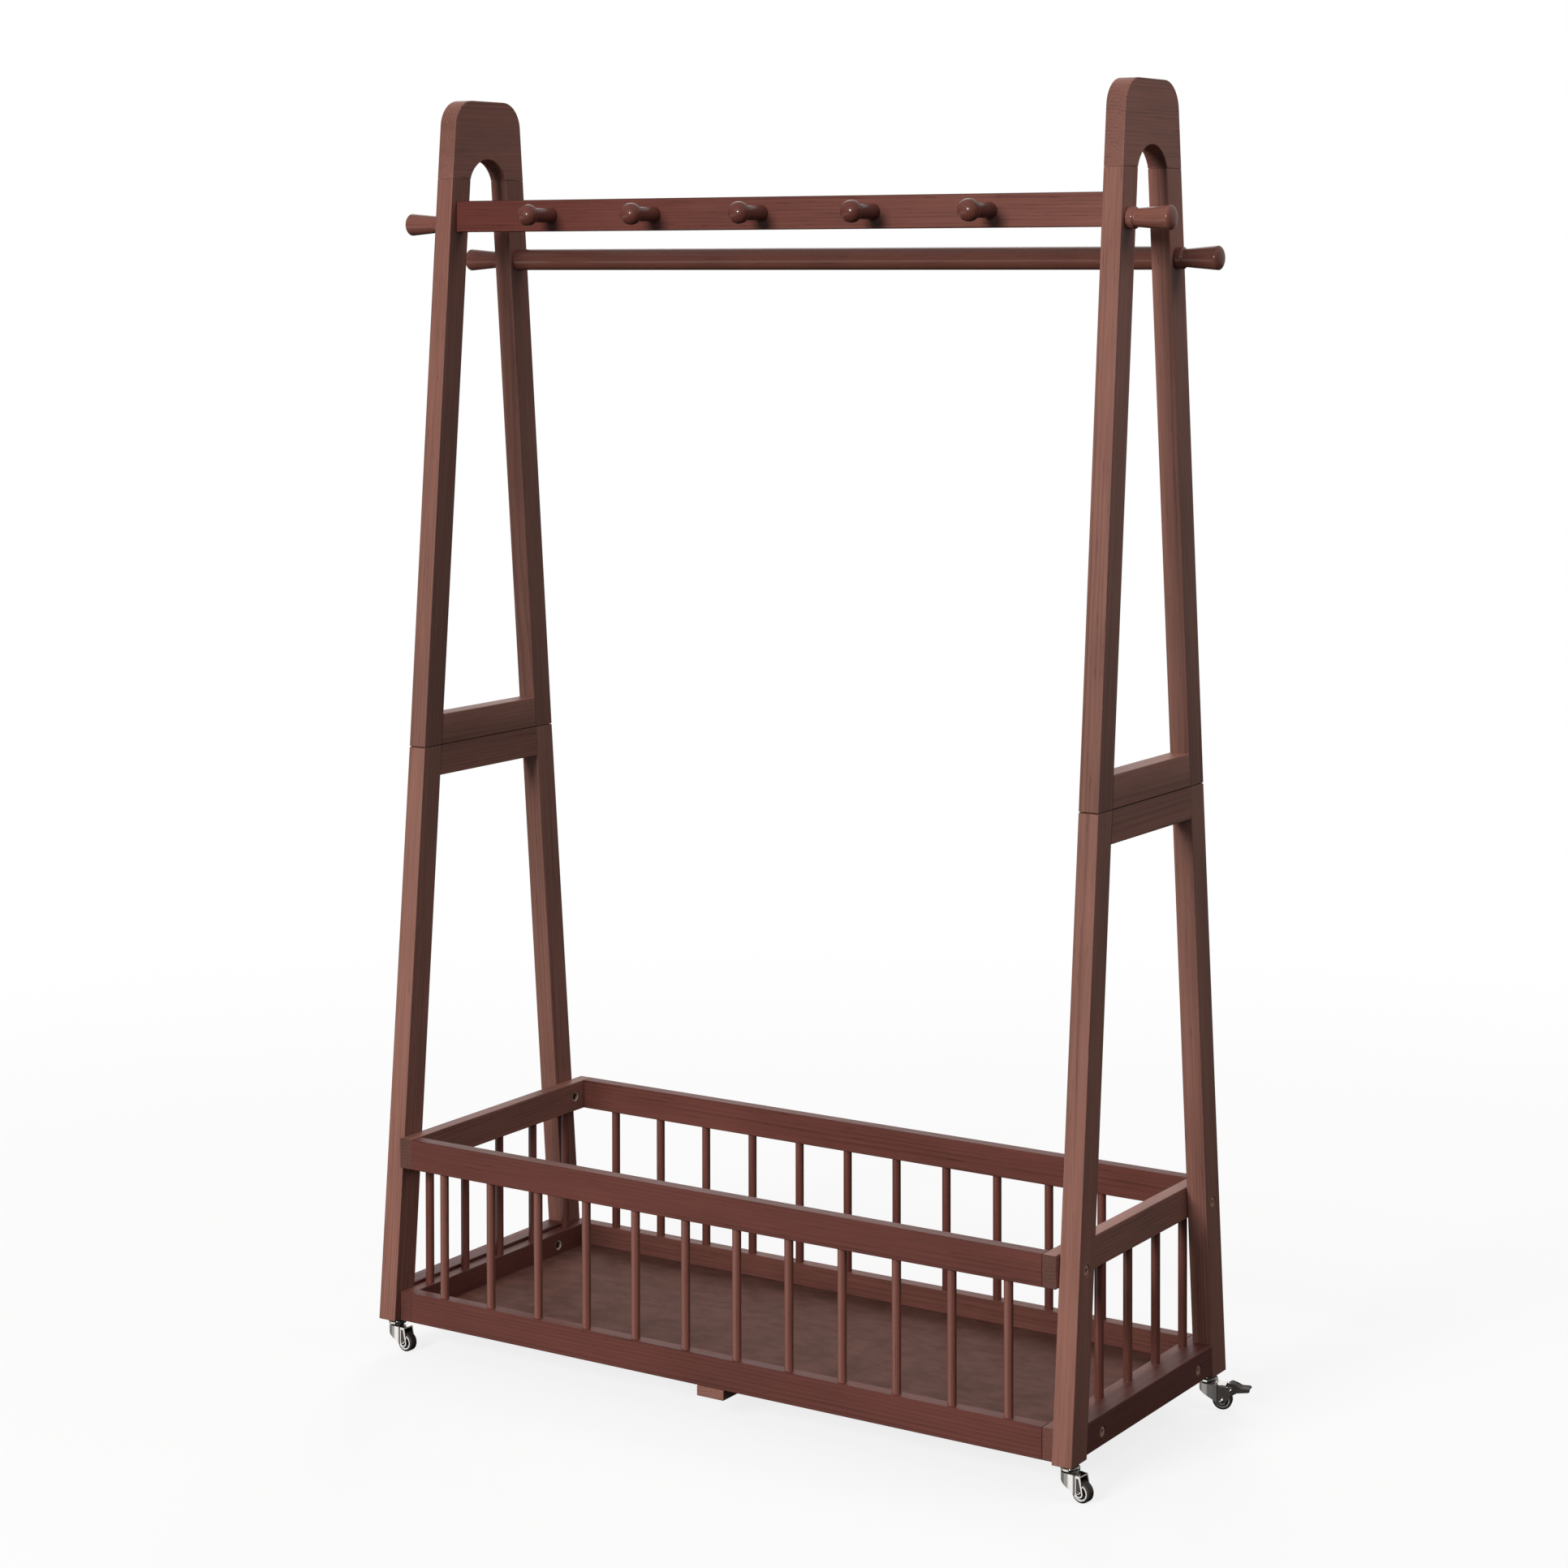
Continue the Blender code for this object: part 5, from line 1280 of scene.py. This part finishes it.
# %% Lamps
LAMPS = {  # place, size in metres, watts, whether it is mirrored, whether it lights matt surfaces
    "key": ((-0.6, -6.6, 3.3), 2.2, 435.0, False, True),
    "glint": ((2.1, -5.4, 2.5), 0.8, 230.0, True, False),
    "side": ((2.2, 0.3, 2.5), 1.0, 12.5, False, True),
    "rear": ((-2.6, 5.0, 3.2), 2.2, 150.0, False, True),
}
AIM = Vector((0, 0, 0.7))

for name, (place, size, power, shows, lights) in LAMPS.items():
    data = bpy.data.lights.new(name, "AREA")
    data.shape = "SQUARE"
    data.size = size
    data.energy = power
    lamp = bpy.data.objects.new(name, data)
    lamp.location = place
    lamp.visible_glossy = shows
    lamp.visible_diffuse = lights
    lamp.rotation_euler = (AIM - Vector(place)).to_track_quat("-Z", "Y").to_euler()
    bpy.context.scene.collection.objects.link(lamp)
print(len(LAMPS), "lamps aimed", AIM.z, "m over the floor")

# %% [markdown]
# The world fills in from above. Bright metal shows only what stands round it, and in a white studio that is
# light and dark cards, so three light cards are painted on the world for reflections alone. A card is a range
# of directions, where x points to the right end frame, y away from the hook side and z up. Each entry below
# is a smooth step along one of them, and a card is the product of its steps.

# %% World
WORLD_LOW, WORLD_HIGH = 0.02, 0.34  # strength from under the horizon to overhead
WORLD_STEP = (-0.2, 0.8)  # how far up a direction points at the low and at the high strength
BACK_CARD, LEFT_CARD, FRONT_CARD = 1.3, 0.4, 1.1
CARDS = {  # axis, from and to on it, strength before and after
    "back": [("Y", 0.45, 0.6, 0.0, BACK_CARD), ("Z", -0.24, -0.12, 0.0, 1.0), ("X", -0.74, -0.64, 0.0, 1.0),
             ("X", -0.5, -0.3, 1.0, 0.25)],
    "left": [("X", -0.82, -0.72, LEFT_CARD, 0.0), ("Z", -0.27, -0.2, 1.0, 0.0), ("Z", -0.6, -0.4, 0.0, 1.0)],
    "front": [("Y", -0.5, -0.35, FRONT_CARD, 0.0), ("Z", -0.27, -0.2, 1.0, 0.0), ("Z", -0.6, -0.4, 0.0, 1.0),
              ("X", -0.1, 0.15, 1.0, 0.0)],
}
world = bpy.data.worlds.new("studio")
world.use_nodes = True
bpy.context.scene.world = world
tree = world.node_tree
direction = node(tree, "TexCoord", out="Generated")
parts = {axis: node(tree, "SeparateXYZ", (direction,), out=axis) for axis in "XYZ"}
strength = node(tree, "MapRange", (parts["Z"], *WORLD_STEP, WORLD_LOW, WORLD_HIGH), **SMOOTH)
only_mirrored = node(tree, "LightPath", out="Is Glossy Ray")
for steps in CARDS.values():
    card = only_mirrored
    for axis, *limits in steps:
        step = node(tree, "MapRange", (parts[axis], *limits), **SMOOTH)
        card = node(tree, "Math", (card, step), operation="MULTIPLY")
    strength = node(tree, "Math", (strength, card), operation="ADD")
seen = node(tree, "LightPath", out="Is Camera Ray")
strength = node(tree, "Math", (strength, seen), operation="MAXIMUM")
sky = tree.nodes["Background"]
tree.links.new(strength, sky.inputs["Strength"])
sky.inputs["Color"].default_value = (1, 1, 1, 1)
bpy.context.scene.view_settings.view_transform = "Standard"
print("world from", WORLD_LOW, "to", WORLD_HIGH, "with", len(CARDS), "cards")
